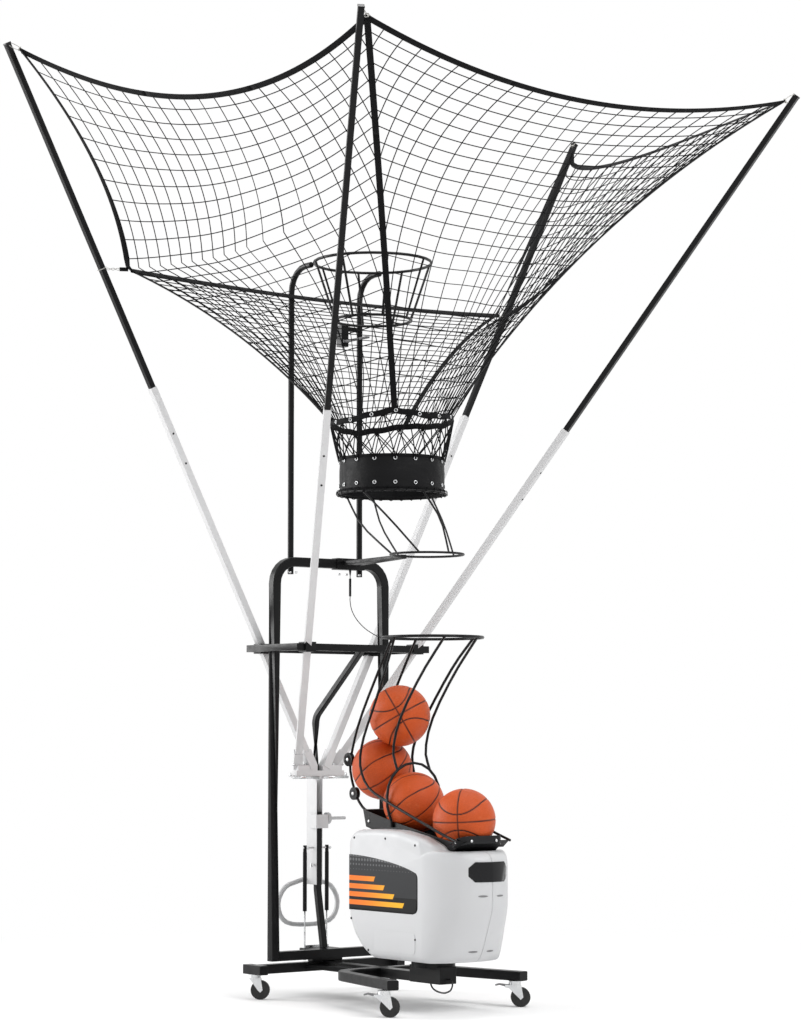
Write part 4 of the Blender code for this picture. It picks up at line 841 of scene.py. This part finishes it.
def make_net(settings):
    """Cords along every panel's lines, and tape along its upper edge and along the four seams."""
    cords, tapes = [Form() for _ in range(5)], [Form() for _ in range(5)]

    def lay(forms, path, section, across=None):
        for zone, start, stop in split_runs(path):
            sweep(forms[zone], path[start:stop], section, None if across is None else across[start:stop])

    section = round_section(settings.cord / 2, 4)
    flat = tape_section(settings.webbing, 0.0030)
    fine = np.linspace(0, 1, 73)
    just_below = 0.985
    for name in PANELS:
        for line in mesh_lines(name, settings.columns, settings.rows):
            lay(cords, line, section)
        edge = panel_point(name, fine, np.ones(73))
        down = unit(panel_point(name, fine, np.full(73, just_below)) - edge)
        lay(tapes, edge + down * settings.webbing * 0.40, flat, down)
    for letter in "abcd":
        path = seam(letter, np.linspace(0, 1, 61))
        lay(tapes, path, flat, unit(np.cross(directions(path), UP)))
    labels = ("middle", "corner_a", "corner_b", "corner_c", "corner_d")
    meshes = [join_net("net_mesh_" + label, cords[zone], zone, "cord") for zone, label in enumerate(labels)]
    for zone, label in enumerate(labels):
        join_net("net_webbing_" + label, tapes[zone], zone, "tape")
    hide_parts("net_front", "net_left", "net_rear", "net_right")


def make_net_ties():
    """A twine loop, (cos, sin) of two half widths, from each tip to its eyelet, and from each low corner to
    its pole a pair of cords that cross as sin(3 pi t)."""
    for letter, (foot, tip) in POLES.items():
        form = Form()
        eyelet = CORNERS[letter]
        along = unit(tip - eyelet)
        half = np.linalg.norm(tip - eyelet) / 2
        angle = np.linspace(0, 2 * math.pi, 25)[:-1, None]
        loop = ((eyelet + tip) / 2 - along * 0.004 + np.cos(angle) * along * half
                + np.sin(angle) * (unit(np.cross(along, UP)) * 0.008 + UP * 0.010))
        sweep(form, loop, round_section(0.0014, 6), None, True)
        sweep(form, circle(eyelet, 0.008, 16, along), round_section(0.0022, 6), along, True)
        form.piece("tip_tie_" + letter, "tie", "pole_" + letter)
    for letter, side in (("a", -1.0), ("d", 1.0)):
        foot, tip = POLES[letter]
        corner = LOW_CORNER * (side, 1, 1)
        hold = foot + (tip - foot) * (corner[2] - foot[2]) / (tip[2] - foot[2])
        way = unit(hold - corner)
        form = Form()
        span = np.linspace(0, 1, 14)[:, None]
        for twist in (-1, 1):
            wave = np.sin(np.linspace(0, 3 * math.pi, 14))[:, None] * UP * 0.004 * twist
            sweep(form, corner + way * 0.03 + (hold - way * 0.014 - corner - way * 0.03) * span + wave,
                  round_section(0.0013, 6))
        pole = unit(tip - foot)
        sweep(form, circle(hold, 0.0185, 20, pole), round_section(0.0016, 6), pole, True)
        form.piece("low_tie_" + letter, "tie", "net_frame")
        strap = sweep(Form(), [corner, corner + way * 0.034], tape_section(0.016, 0.004), UP)
        strap.piece("low_strap_" + letter, "tape", "net_frame")


# Pairs of eyelets, their angles, and the points round the funnel
LACES = 16
LACE_TURNS = (np.arange(LACES) + 0.5) * 2 * math.pi / LACES
AROUND = 144
BAND_DROP = 0.006
EYELET = 0.0062
WINDINGS = 32


def make_collar():
    """The funnel's band, its eyelets, and the collar: a sleeve that bulges as sin(pi t) between its hems and
    puckers there as cos(16 angle)."""
    level = turns(AROUND)
    edge = about_funnel(BAND_RADIUS, level, band_height(np.degrees(level)) - BAND_DROP)
    sweep(Form(), edge, tape_section(0.024, 0.004), UP, True).piece("funnel_band", "tape", "base")
    rings = Form()
    for turn in LACE_TURNS:
        outward = np.array((math.cos(turn), math.sin(turn), 0.0))
        for radius, z in ((BAND_RADIUS + 0.0022, band_height(math.degrees(turn)) - BAND_DROP),
                          (COLLAR_RADIUS + 0.0016, COLLAR_HIGH_Z - 0.016),
                          (COLLAR_RADIUS + 0.0016, COLLAR_LOW_Z + 0.030)):
            centre = np.array((0, FUNNEL_Y, z)) + outward * radius
            sweep(rings, circle(centre, EYELET, 18, outward), round_section(0.0018, 8), outward, True)
    rings.piece("eyelets", "zinc", "base")
    tall, wide = np.meshgrid(np.linspace(0, 1, 22), level, indexing="ij")
    fold = np.cos(LACES * (wide - LACE_TURNS[0]))
    radius = (COLLAR_RADIUS - 0.0022 + 0.0030 * np.sin(math.pi * tall)
              - 0.0014 * fold * np.abs(2 * tall - 1) ** 3)
    z = COLLAR_LOW_Z + (COLLAR_HIGH_Z - COLLAR_LOW_Z) * tall + 0.0022 * fold * (tall > 0.9)
    lengths = np.stack((wide * COLLAR_RADIUS, tall * 0.14), -1)
    sleeve = Form().add(about_funnel(radius, wide, z), grid_faces(22, AROUND, False, True), lengths)
    collar = sleeve.piece("collar_panel", "collar", "base", (0.0020, -1))
    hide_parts("collar")
    hems = Form()
    for z in (COLLAR_HIGH_Z - 0.004, COLLAR_LOW_Z + 0.008):
        sweep(hems, about_funnel(COLLAR_RADIUS + 0.0006, level, z), tape_section(0.012, 0.0022), UP, True)
    hem = hems.piece("collar_hems", "tape", "base")
    make_lacing()


def make_lacing():
    """Cords that zigzag between the band's eyelets and the collar's, and one that winds round the collar's
    ring: ring + radius (cos, sin) of WINDINGS turns."""
    form = Form()
    pitch = 2 * math.pi / LACES
    span = np.linspace(0, 1, 8)
    foot = COLLAR_HIGH_Z - 0.014
    for turn in LACE_TURNS:
        for shift, slack in ((-1.0, 0.002), (0.0, 0.0), (1.0, 0.003), (2.0, 0.001)):
            high = turn + shift * pitch - pitch / 2
            radius = COLLAR_RADIUS + 0.0030 + (BAND_RADIUS - COLLAR_RADIUS) * span - slack * hang_even(span)
            rise = band_height(math.degrees(high)) - 0.014 - foot
            line = about_funnel(radius, turn + (high - turn) * span, foot + rise * span)
            sweep(form, line, round_section(0.0023, 6))
    form.piece("collar_lacing", "cord", "base")
    t = turns(WINDINGS * 12)
    coil = WINDINGS * t
    z = RING_Z + 0.0062 * np.sin(coil) + 0.0075 * np.clip(np.sin(coil), 0, 1)
    line = about_funnel(RING_RADIUS + 0.0068 * np.cos(coil), t, z)
    sweep(Form(), line, round_section(0.0014, 6), UP, True).piece("ring_lashing", "cord", "base")


# Balls

# For each ball: the way its two great channels' crossing faces, and the way one side loop faces
BALL_WAYS = (((-0.62, -0.78, 0.03), (-0.39, 0.31, 0.87)), ((0.55, -0.62, 0.56), (-0.70, 0.20, 0.55)),
             ((0.60, -0.55, 0.58), (-0.75, 0.10, 0.60)), ((-0.72, -0.58, -0.04), (0.0, 0.05, 1.0)))
LOOP_BEND = 0.27
CHANNEL_DEPTH = 0.0016


def turn_matrix(ahead, up):
    """Columns are where a ball's own axes go: z to ahead, x to up squared off to z, y to what is left."""
    z = unit(np.asarray(ahead, float))
    x = np.asarray(up, float)
    x = unit(x - z * (x @ z))
    return np.stack((x, np.cross(z, x), z), 1)


def channel_distance(way):
    """Arc distance, in radians, to the nearest channel: the great circles x = 0 and y = 0, and one loop on
    each side, |x| = 0.5 - LOOP_BEND (z^2 - y^2), its level divided by its slope along the sphere."""
    x, y, z = np.moveaxis(way, -1, 0)
    level = np.abs(x) - 0.50 + LOOP_BEND * (z ** 2 - y ** 2)
    slope = np.stack((np.sign(x), -2 * LOOP_BEND * y, 2 * LOOP_BEND * z), -1)
    slope = slope - way * (slope * way).sum(-1, keepdims=True)
    loops = np.abs(level) / np.maximum(np.linalg.norm(slope, axis=-1), 0.3)
    return np.minimum(np.minimum(np.abs(x), np.abs(y)), loops)


def make_ball(index, centre, settings):
    """A sphere from six square grids pushed out to the radius, and sunk along the channels by a smooth step
    of their distance, t^2 (3 - 2 t)."""
    cells = 64
    line = np.tan(np.linspace(-math.pi / 4, math.pi / 4, cells + 1))
    a, b = np.meshgrid(line, line, indexing="ij")
    one = np.ones_like(a)
    sides = [(one, a, b), (-one, b, a), (b, one, a), (a, -one, b), (a, b, one), (b, a, -one)]
    ways = unit(np.stack([np.stack(side, -1) for side in sides]).reshape(-1, 3))
    far = channel_distance(ways) * BALL_RADIUS
    inside = 1 - np.clip((far - settings.seam * 0.30) / (settings.seam * 0.45), 0, 1)
    sunk = inside * inside * (3 - 2 * inside)
    points = ways * (BALL_RADIUS - 0.0002 - CHANNEL_DEPTH * sunk)[:, None]
    points = points @ turn_matrix(*BALL_WAYS[index]).T + np.asarray(centre)
    quads = grid_faces(cells + 1, cells + 1)
    size = (cells + 1) ** 2
    form = Form().add(points, np.vstack([quads + k * size for k in range(6)]), None, sunk)
    thing = form.piece("basketball_%d" % (index + 1), "ball", "head", merge=0.00005)
    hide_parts("ball_%d" % (index + 1))


# Casing

SIDE_LINE = np.array(((-0.385, 0.663), (-0.420, 0.681), (-0.550, 0.686), (-0.677, 0.683),
                      (-0.800, 0.662), (-0.900, 0.632), (-0.940, 0.609), (-0.965, 0.612),
                      (-1.005, 0.612), (-1.032, 0.598), (-1.043, 0.572), (-1.043, 0.400),
                      (-1.017, 0.327), (-0.987, 0.250), (-0.964, 0.205), (-0.930, 0.192),
                      (-0.520, 0.192), (-0.460, 0.225), (-0.405, 0.280), (-0.372, 0.345),
                      (-0.370, 0.640)))
HALF_WIDTH = 0.180
NOSE_START_Y = -0.824
NOSE_HALF_WIDTH = 0.1804
NOSE_PROFILE = (0.205, 0.250, 0.327, 0.400), (-0.964, -0.987, -1.017, -1.043)
SLOT_HALF_WIDTH = 0.1018
SLOT_FRONT_Y = -0.946
SLOT_BACK_Y = -0.405
STATIONS = (0.00015, 0.0035, 0.020, 0.040, 0.060, 0.080, 0.092, SLOT_HALF_WIDTH, 0.115, 0.128, 0.140, 0.149)
FILM_LOW_Z = 0.372
FILM_HIGH_Z = 0.585
FILM_BACK_Y = -0.382
FILM_FRONT_Y = -0.816
SCREWS = ((-0.414, 0.650), (-0.614, 0.652), (-0.800, 0.632), (-0.395, 0.338), (-0.506, 0.222),
          (-0.800, 0.278))
RAISED_PANEL = (-0.800, 0.222), (-0.545, 0.300)
# Heights of the two sheets of painted shade that stand for finger notches
NOTCH_HEIGHTS = (0.447, 0.237)


def eased_outline(outline, count):
    """The side outline with its corners eased: a closed path of even steps, averaged over neighbours."""
    path = resampled(np.pad(np.vstack((outline, outline[:1])), ((0, 0), (0, 1))), count, True)[:, :2]
    for _ in range(6):
        path = 0.25 * np.roll(path, 1, 0) + 0.5 * path + 0.25 * np.roll(path, -1, 0)
    return path


def inset(outline, distance):
    """Move each point of a closed outline inwards along its own normal."""
    tangent = np.roll(outline, -1, 0) - np.roll(outline, 1, 0)
    tangent /= np.linalg.norm(tangent, axis=1, keepdims=True)
    normal = np.stack((tangent[:, 1], -tangent[:, 0]), 1)
    area = np.sum(outline[:, 0] * np.roll(outline[:, 1], -1) - np.roll(outline[:, 0], -1) * outline[:, 1])
    return outline - normal * distance * np.sign(area)


def make_casing(settings):
    """Two halves, each one surface: the side outline at each station, set inwards along a quarter circle at
    the side wall, with a level slot along the top for the tray."""
    count = 232
    outline = eased_outline(SIDE_LINE, count)
    flat_half = HALF_WIDTH - settings.edge
    stations = [(x, 0.0) for x in (*STATIONS, flat_half)]
    stations += [(flat_half + settings.edge * math.sin(t), settings.edge * (1 - math.cos(t)))
                 for t in np.linspace(0, math.pi / 2, 7)[1:]]
    for side, label in ((-1.0, "left"), (1.0, "right")):
        loops = []
        for x, sink in stations:
            loop = inset(outline, sink + (0.0012 if x < 0.001 else 0.0))
            front = np.where(loop[:, 0] < NOSE_START_Y, nose(loop[:, 0], x), loop[:, 0])
            loops.append(np.column_stack((np.full(count, side * x), front, loop[:, 1])))
        rows = len(loops)
        faces = grid_faces(rows, count, False, True)
        points = np.vstack(loops)
        middle = points[faces].mean(1)
        slot = ((np.abs(middle[:, 0]) < SLOT_HALF_WIDTH) & (middle[:, 1] > SLOT_FRONT_Y)
                & (middle[:, 1] < SLOT_BACK_Y) & (middle[:, 2] > 0.55))
        form = Form().add(points, faces[~slot])
        form.faces.append(list(range((rows - 1) * count, rows * count)))
        shell = form.piece("casing_" + label, "shell", "head", (0.0032, -1), sharp=50)
        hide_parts("body_" + label)
        make_side_film(side, label)
        make_casing_fittings(side, label)


def nose(y, x):
    """What lies ahead of the nose's start, as a half ellipse: start + (y - start) sqrt(1 - (x / half)^2)."""
    return NOSE_START_Y + (y - NOSE_START_Y) * np.sqrt(1 - (x / NOSE_HALF_WIDTH) ** 2)


def make_side_film(side, label):
    """A thin film on the side wall: u from the back to the front, whose corners are quarter circles, and v
    from its level foot to a top that falls as 0.052 u^1.7."""
    wide, high, corner = 60, 30, 0.030
    u, v = np.meshgrid(np.linspace(0, 1, wide), np.linspace(0, 1, high), indexing="ij")
    share = 2 * corner / 0.19
    over = np.clip(np.abs(v - 0.5) * 2 - (1 - share), 0, 1) / share
    y = (FILM_BACK_Y + (FILM_FRONT_Y - FILM_BACK_Y) * u
         + u ** 6 * corner * (1 - np.sqrt(np.maximum(1 - over ** 2, 0))))
    z = FILM_LOW_Z + (FILM_HIGH_Z - 0.052 * u ** 1.7 - FILM_LOW_Z) * v
    points = np.stack((np.full_like(y, side * (HALF_WIDTH + 0.0004)), y, z), -1)
    lengths = np.stack((FILM_BACK_Y - y, z - FILM_LOW_Z), -1)
    faces = grid_faces(wide, high)
    Form().add(points, faces, lengths).piece("side_film_" + label, "film", "head", (0.0004, 0))


def make_casing_fittings(side, label):
    """Screws, a flat raised panel and, beside the nose's middle, two thin dark sheets of painted shade that
    stand for finger notches, whose height goes with v sqrt(1 - u^2)."""
    form = Form()
    for y, z in SCREWS:
        stud(form, (side * (HALF_WIDTH - 0.0004), y, z), (side, 0, 0), 0.0048, 0.0022)
    form.piece("casing_screws_" + label, "tray", "head")
    edge = rounded_plate(*RAISED_PANEL, 0.012, 6)
    points = np.column_stack((np.full(len(edge), side * (HALF_WIDTH + 0.0002)), edge))
    panel = Form().add(points, [list(range(len(edge)))])
    panel.piece("casing_panel_" + label, "shell", "head", (0.0026, 0), smooth=False)
    # Painted shade: thin dark grey sheets laid on the nose where the finger notches' hollows would be shaded;
    # the casing itself is not cut
    notch_painted_shades = Form()
    u, v = np.meshgrid(np.linspace(-1, 1, 17), np.linspace(-1, 1, 5), indexing="ij")
    for middle in NOTCH_HEIGHTS:
        x = 0.041 + 0.019 * u
        z = middle + 0.0034 * v * np.sqrt(np.maximum(1 - u ** 2, 0.02))
        profile = np.interp(z, *NOSE_PROFILE)
        y = NOSE_START_Y + (profile - NOSE_START_Y) * np.sqrt(1 - (x / HALF_WIDTH) ** 2) - 0.0006
        notch_painted_shades.add(np.stack((side * x, y, z), -1), grid_faces(17, 5))
    notch_painted_shades.piece("casing_notch_painted_shade_" + label, "notch_painted_shade", "head", (0.0008, 0))


def rounded_plate(low, high, corner, steps):
    """The outline of a rectangle from low to high with quarter-circle corners of steps points each."""
    low, high = np.array(low), np.array(high)
    return square_section(*(high - low), corner, steps) + (low + high) / 2


# Cords

SENSOR_ROUTE = ((0.095, -0.012, 1.6161), (0.095, -0.012, 1.5961), (0.102, -0.014, 1.560),
                (0.125, -0.017, 1.522), (0.165, -0.019, 1.487), (0.210, -0.020, 1.463),
                (0.238, -0.020, 1.453), (0.2537, -0.020, 1.451))
POWER_ROUTE = ((0, -0.668, 0.0997), (0, -0.669, 0.090), (0, -0.684, 0.076), (0, -0.715, 0.067),
               (0, -0.755, 0.066), (0, -0.788, 0.078), (0, -0.801, 0.099), (0, -0.794, 0.116),
               (0, -0.7753, 0.119))


def make_cord(name, node, corners, diameter, sides):
    """A round cord along a smooth route."""
    path = smooth_path(corners, 48)
    cord = sweep(Form(), path, round_section(diameter / 2, sides)).piece(name, "cable", "base")
    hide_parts(node)


def make_cords():
    """The shot sensor's lead, down to the upright's right leg, and the casing's, down and up to its plug."""
    make_cord("sensor_lead", "sensor_cable", SENSOR_ROUTE, 0.0036, 10)
    make_cord("power_loop", "power_cord", POWER_ROUTE, 0.0066, 12)


# Fasteners

# Upright bolts and nuts on the frame's top: x, y, z, radius
TOP_BOLTS = ((-0.221, 0.0, 1.7485, 0.006), (-0.150, 0.0, 1.7485, 0.005), (0.030, 0.0, 1.7485, 0.0075),
             (0.131, 0.0, 1.7485, 0.005))
TOP_NUTS = (-0.201, -0.172, 0.045, 0.083, 0.148)
# The hopper's rollers and the tray's rivets (y, z), the tray's bent rim, and the buttons' places up the poles
ROLLER_ENDS = ((-0.2206, 0.951), (-0.2575, 0.8165))
TRAY_RIVETS = ((-0.405, 0.712), (-0.625, 0.680), (-0.951, 0.645))
RIM_HALF = TRAY_HALF_WIDTH + 0.0015
RIM = ((-RIM_HALF, -0.905, 0.614), (-RIM_HALF, -0.966, 0.648), (-RIM_HALF + 0.022, -0.990, 0.655),
       (RIM_HALF - 0.022, -0.990, 0.655), (RIM_HALF, -0.966, 0.648), (RIM_HALF, -0.905, 0.614))
BUTTON_REACHES = (1.33, 1.46)


def make_fasteners():
    """Bolts, pins, rivets and buttons: on the hub's sockets, struts, frame top, hopper, tray and poles."""
    hub, top, cage, rim, buttons = (Form() for _ in range(5))
    for x, y, z, radius in TOP_BOLTS:
        stud(top, (x, y, z), (0, 0, 1), radius, 0.009)
    for x in TOP_NUTS:
        stud(top, (x, -0.004, 1.7095), (0, 0, -1), 0.0055, 0.0085)
    for side in (-1.0, 1.0):
        for x in (REAR_ROOT[0], FRONT_ROOT[0]):
            for end in (-1.0, 1.0):
                stud(hub, (side * x + end * 0.0185, HUB_Y, 0.928), (end, 0, 0), 0.0062, 0.0075)
        stud(hub, (side * 0.138, HUB_Y, 0.887), (side, 0, 0), 0.0085, 0.0060)
        sweep(hub, [(side * 0.010, HUB_Y - 0.0205, 0.876), (side * 0.136, HUB_Y - 0.0205, 0.876)],
              round_section(0.0055, 14), UP)
        stud(hub, (side * 0.055, HUB_Y - 0.006, 0.590), (0, -1, 0), 0.0062, 0.0050)
        stud(hub, (side * 0.055, 0.092, 0.5905), (0, 0, 1), 0.0060, 0.0085)
        stud(top, (side * 0.055, 0.092, 0.1370), (0, 0, 1), 0.0070, 0.0080)
        for y, z in ROLLER_ENDS:
            stud(cage, (side * 0.0700, y, z), (side, 0, 0), 0.0075, 0.0045)
        for y, z in TRAY_RIVETS:
            stud(cage, (side * TRAY_HALF_WIDTH, y, z), (side, 0, 0), 0.0058, 0.0040)
        stud(cage, (side * 0.060, -0.9925, 0.651), (0, -1, 0), 0.0058, 0.0040)
    sweep(rim, rounded_path(RIM, 0.012, 6), square_section(0.030, 0.0030, 0.0012), UP)
    for foot, tip in POLES.values():
        way = unit(tip - foot)
        sides = np.array(Vector(way).to_track_quat("Z", "Y").to_matrix())[:, :2].T
        outward = min((*sides, *-sides), key=lambda face: face[1])
        for reach in BUTTON_REACHES:
            stud(buttons, foot + way * reach + outward * POLE_HALF, outward, 0.0042, 0.0026)
    hub.piece("hub_bolts", "zinc", "net_frame")
    top.piece("frame_bolts", "zinc", "base")
    cage.piece("hopper_bolts", "zinc", "head")
    rim.piece("tray_rim", "gloss", "head")
    buttons.piece("snap_buttons", "black", "net_frame")


# Stage

CAMERA_PLACE = (-6.395, -8.048, 1.051)
CAMERA_TURN = (94.78, 0.0, -37.52)
FLOOR_HALF = 60.0
# Lamps: name, place, size, power in watts
LAMPS = (("key", (-5.3, 6.9, 3.1), (3.6, 4.8), 500.0), ("fill", (0.8, -6.8, 7.0), (5.0, 4.0), 375.0),
         ("top", (0.6, 0.6, 8.5), (4.5, 4.5), 260.0))
AIM = Vector((0, 0, 1.6))
AMBIENT = 0.58


def make_stage(settings):
    """The camera of the photograph, a wide floor, a plain world that shows white, and three soft lamps."""
    scene = bpy.context.scene
    scene.view_settings.view_transform = "Standard"
    data = bpy.data.cameras.new("camera")
    data.lens = settings.lens
    data.sensor_width = 36.0
    data.clip_end = 200.0
    camera = scene.camera = bpy.data.objects.new("camera", data)
    camera.location = CAMERA_PLACE
    camera.rotation_euler = [math.radians(angle) for angle in CAMERA_TURN]
    scene.collection.objects.link(camera)
    MATERIALS["floor"] = studio_floor("studio_floor", settings.floor)
    corners = np.array(((-1, -1, 0), (1, -1, 0), (1, 1, 0), (-1, 1, 0))) * FLOOR_HALF
    Form().add(corners, [[0, 1, 2, 3]]).piece("floor", "floor")
    world = scene.world = bpy.data.worlds.new("studio")
    world.use_nodes = True
    tree = world.node_tree
    lit, shown = tree.nodes["Background"], tree.nodes.new("ShaderNodeBackground")
    for back, strength in ((lit, AMBIENT), (shown, 1.0)):
        back.inputs["Color"].default_value = (1, 1, 1, 1)
        back.inputs["Strength"].default_value = strength
    mix = tree.nodes.new("ShaderNodeMixShader")
    for index, out in enumerate((background_seen(tree), lit.outputs[0], shown.outputs[0])):
        tree.links.new(out, mix.inputs[index])
    tree.links.new(mix.outputs[0], tree.nodes["World Output"].inputs["Surface"])
    for name, place, (wide, tall), power in LAMPS:
        light = bpy.data.lights.new(name, "AREA")
        light.shape = "RECTANGLE"
        light.size, light.size_y, light.energy = wide, tall, power
        lamp = bpy.data.objects.new(name, light)
        lamp.location = place
        lamp.rotation_euler = (AIM - Vector(place)).to_track_quat("-Z", "Y").to_euler()
        scene.collection.objects.link(lamp)


# Operators

class SHOOTER_OT_finishes(bpy.types.Operator):
    """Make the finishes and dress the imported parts"""
    bl_idname = "shooter.finishes"
    bl_label = "Finishes"

    def execute(self, context):
        make_materials(context.scene)
        finish_nodes(context.scene.shooter_frame.bevel)
        return {"FINISHED"}


class SHOOTER_OT_cords(bpy.types.Operator):
    """Make the sensor's lead and the head's power loop"""
    bl_idname = "shooter.cords"
    bl_label = "Cords"

    def execute(self, context):
        make_cords()
        return {"FINISHED"}


class SHOOTER_OT_net(bpy.types.Operator):
    """Make the net with its tapes and ties"""
    bl_idname = "shooter.net"
    bl_label = "Net"

    def execute(self, context):
        make_net(context.scene.shooter_net)
        make_net_ties()
        return {"FINISHED"}


class SHOOTER_OT_collar(bpy.types.Operator):
    """Make the funnel's band, its lacing and the collar"""
    bl_idname = "shooter.collar"
    bl_label = "Collar"

    def execute(self, context):
        make_collar()
        return {"FINISHED"}


class SHOOTER_OT_balls(bpy.types.Operator):
    """Make the four balls"""
    bl_idname = "shooter.balls"
    bl_label = "Balls"

    def execute(self, context):
        for index, centre in enumerate(BALLS):
            make_ball(index, centre, context.scene.shooter_ball)
        return {"FINISHED"}


class SHOOTER_OT_casing(bpy.types.Operator):
    """Make the head's casing with its side film and screws"""
    bl_idname = "shooter.casing"
    bl_label = "Casing"

    def execute(self, context):
        make_casing(context.scene.shooter_casing)
        return {"FINISHED"}


class SHOOTER_OT_fasteners(bpy.types.Operator):
    """Make the bolts, the tray's rim and the poles' buttons"""
    bl_idname = "shooter.fasteners"
    bl_label = "Fasteners"

    def execute(self, context):
        make_fasteners()
        return {"FINISHED"}


class SHOOTER_OT_stage(bpy.types.Operator):
    """Make the floor, the lamps and the camera"""
    bl_idname = "shooter.stage"
    bl_label = "Stage"

    def execute(self, context):
        make_stage(context.scene.shooter_stage)
        return {"FINISHED"}


OPERATORS = (SHOOTER_OT_stage, SHOOTER_OT_finishes, SHOOTER_OT_cords, SHOOTER_OT_net, SHOOTER_OT_collar,
             SHOOTER_OT_balls, SHOOTER_OT_casing, SHOOTER_OT_fasteners)
GROUPS = {"shooter_net": NetSettings, "shooter_ball": BallSettings, "shooter_casing": CasingSettings,
          "shooter_frame": FrameSettings, "shooter_stage": StageSettings}


class SHOOTER_PT_panel(bpy.types.Panel):
    """The machine's pieces"""
    bl_idname = "SHOOTER_PT_panel"
    bl_label = "Shooting machine"
    bl_space_type = "VIEW_3D"
    bl_region_type = "UI"
    bl_category = "Shooter"

    def draw(self, context):
        for operator in OPERATORS:
            self.layout.operator(operator.bl_idname)
        for name, group in GROUPS.items():
            box = self.layout.box()
            for key in group.__annotations__:
                box.prop(getattr(context.scene, name), key)


def register():
    for kind in (*GROUPS.values(), *OPERATORS, SHOOTER_PT_panel):
        bpy.utils.register_class(kind)
    for name, group in GROUPS.items():
        setattr(bpy.types.Scene, name, PointerProperty(type=group))


def unregister():
    for name in GROUPS:
        delattr(bpy.types.Scene, name)
    for kind in reversed((*GROUPS.values(), *OPERATORS, SHOOTER_PT_panel)):
        bpy.utils.unregister_class(kind)


def main():
    register()
    for operator in OPERATORS:
        section, call = operator.bl_idname.split(".")
        getattr(getattr(bpy.ops, section), call)()


if __name__ == "__main__":
    main()
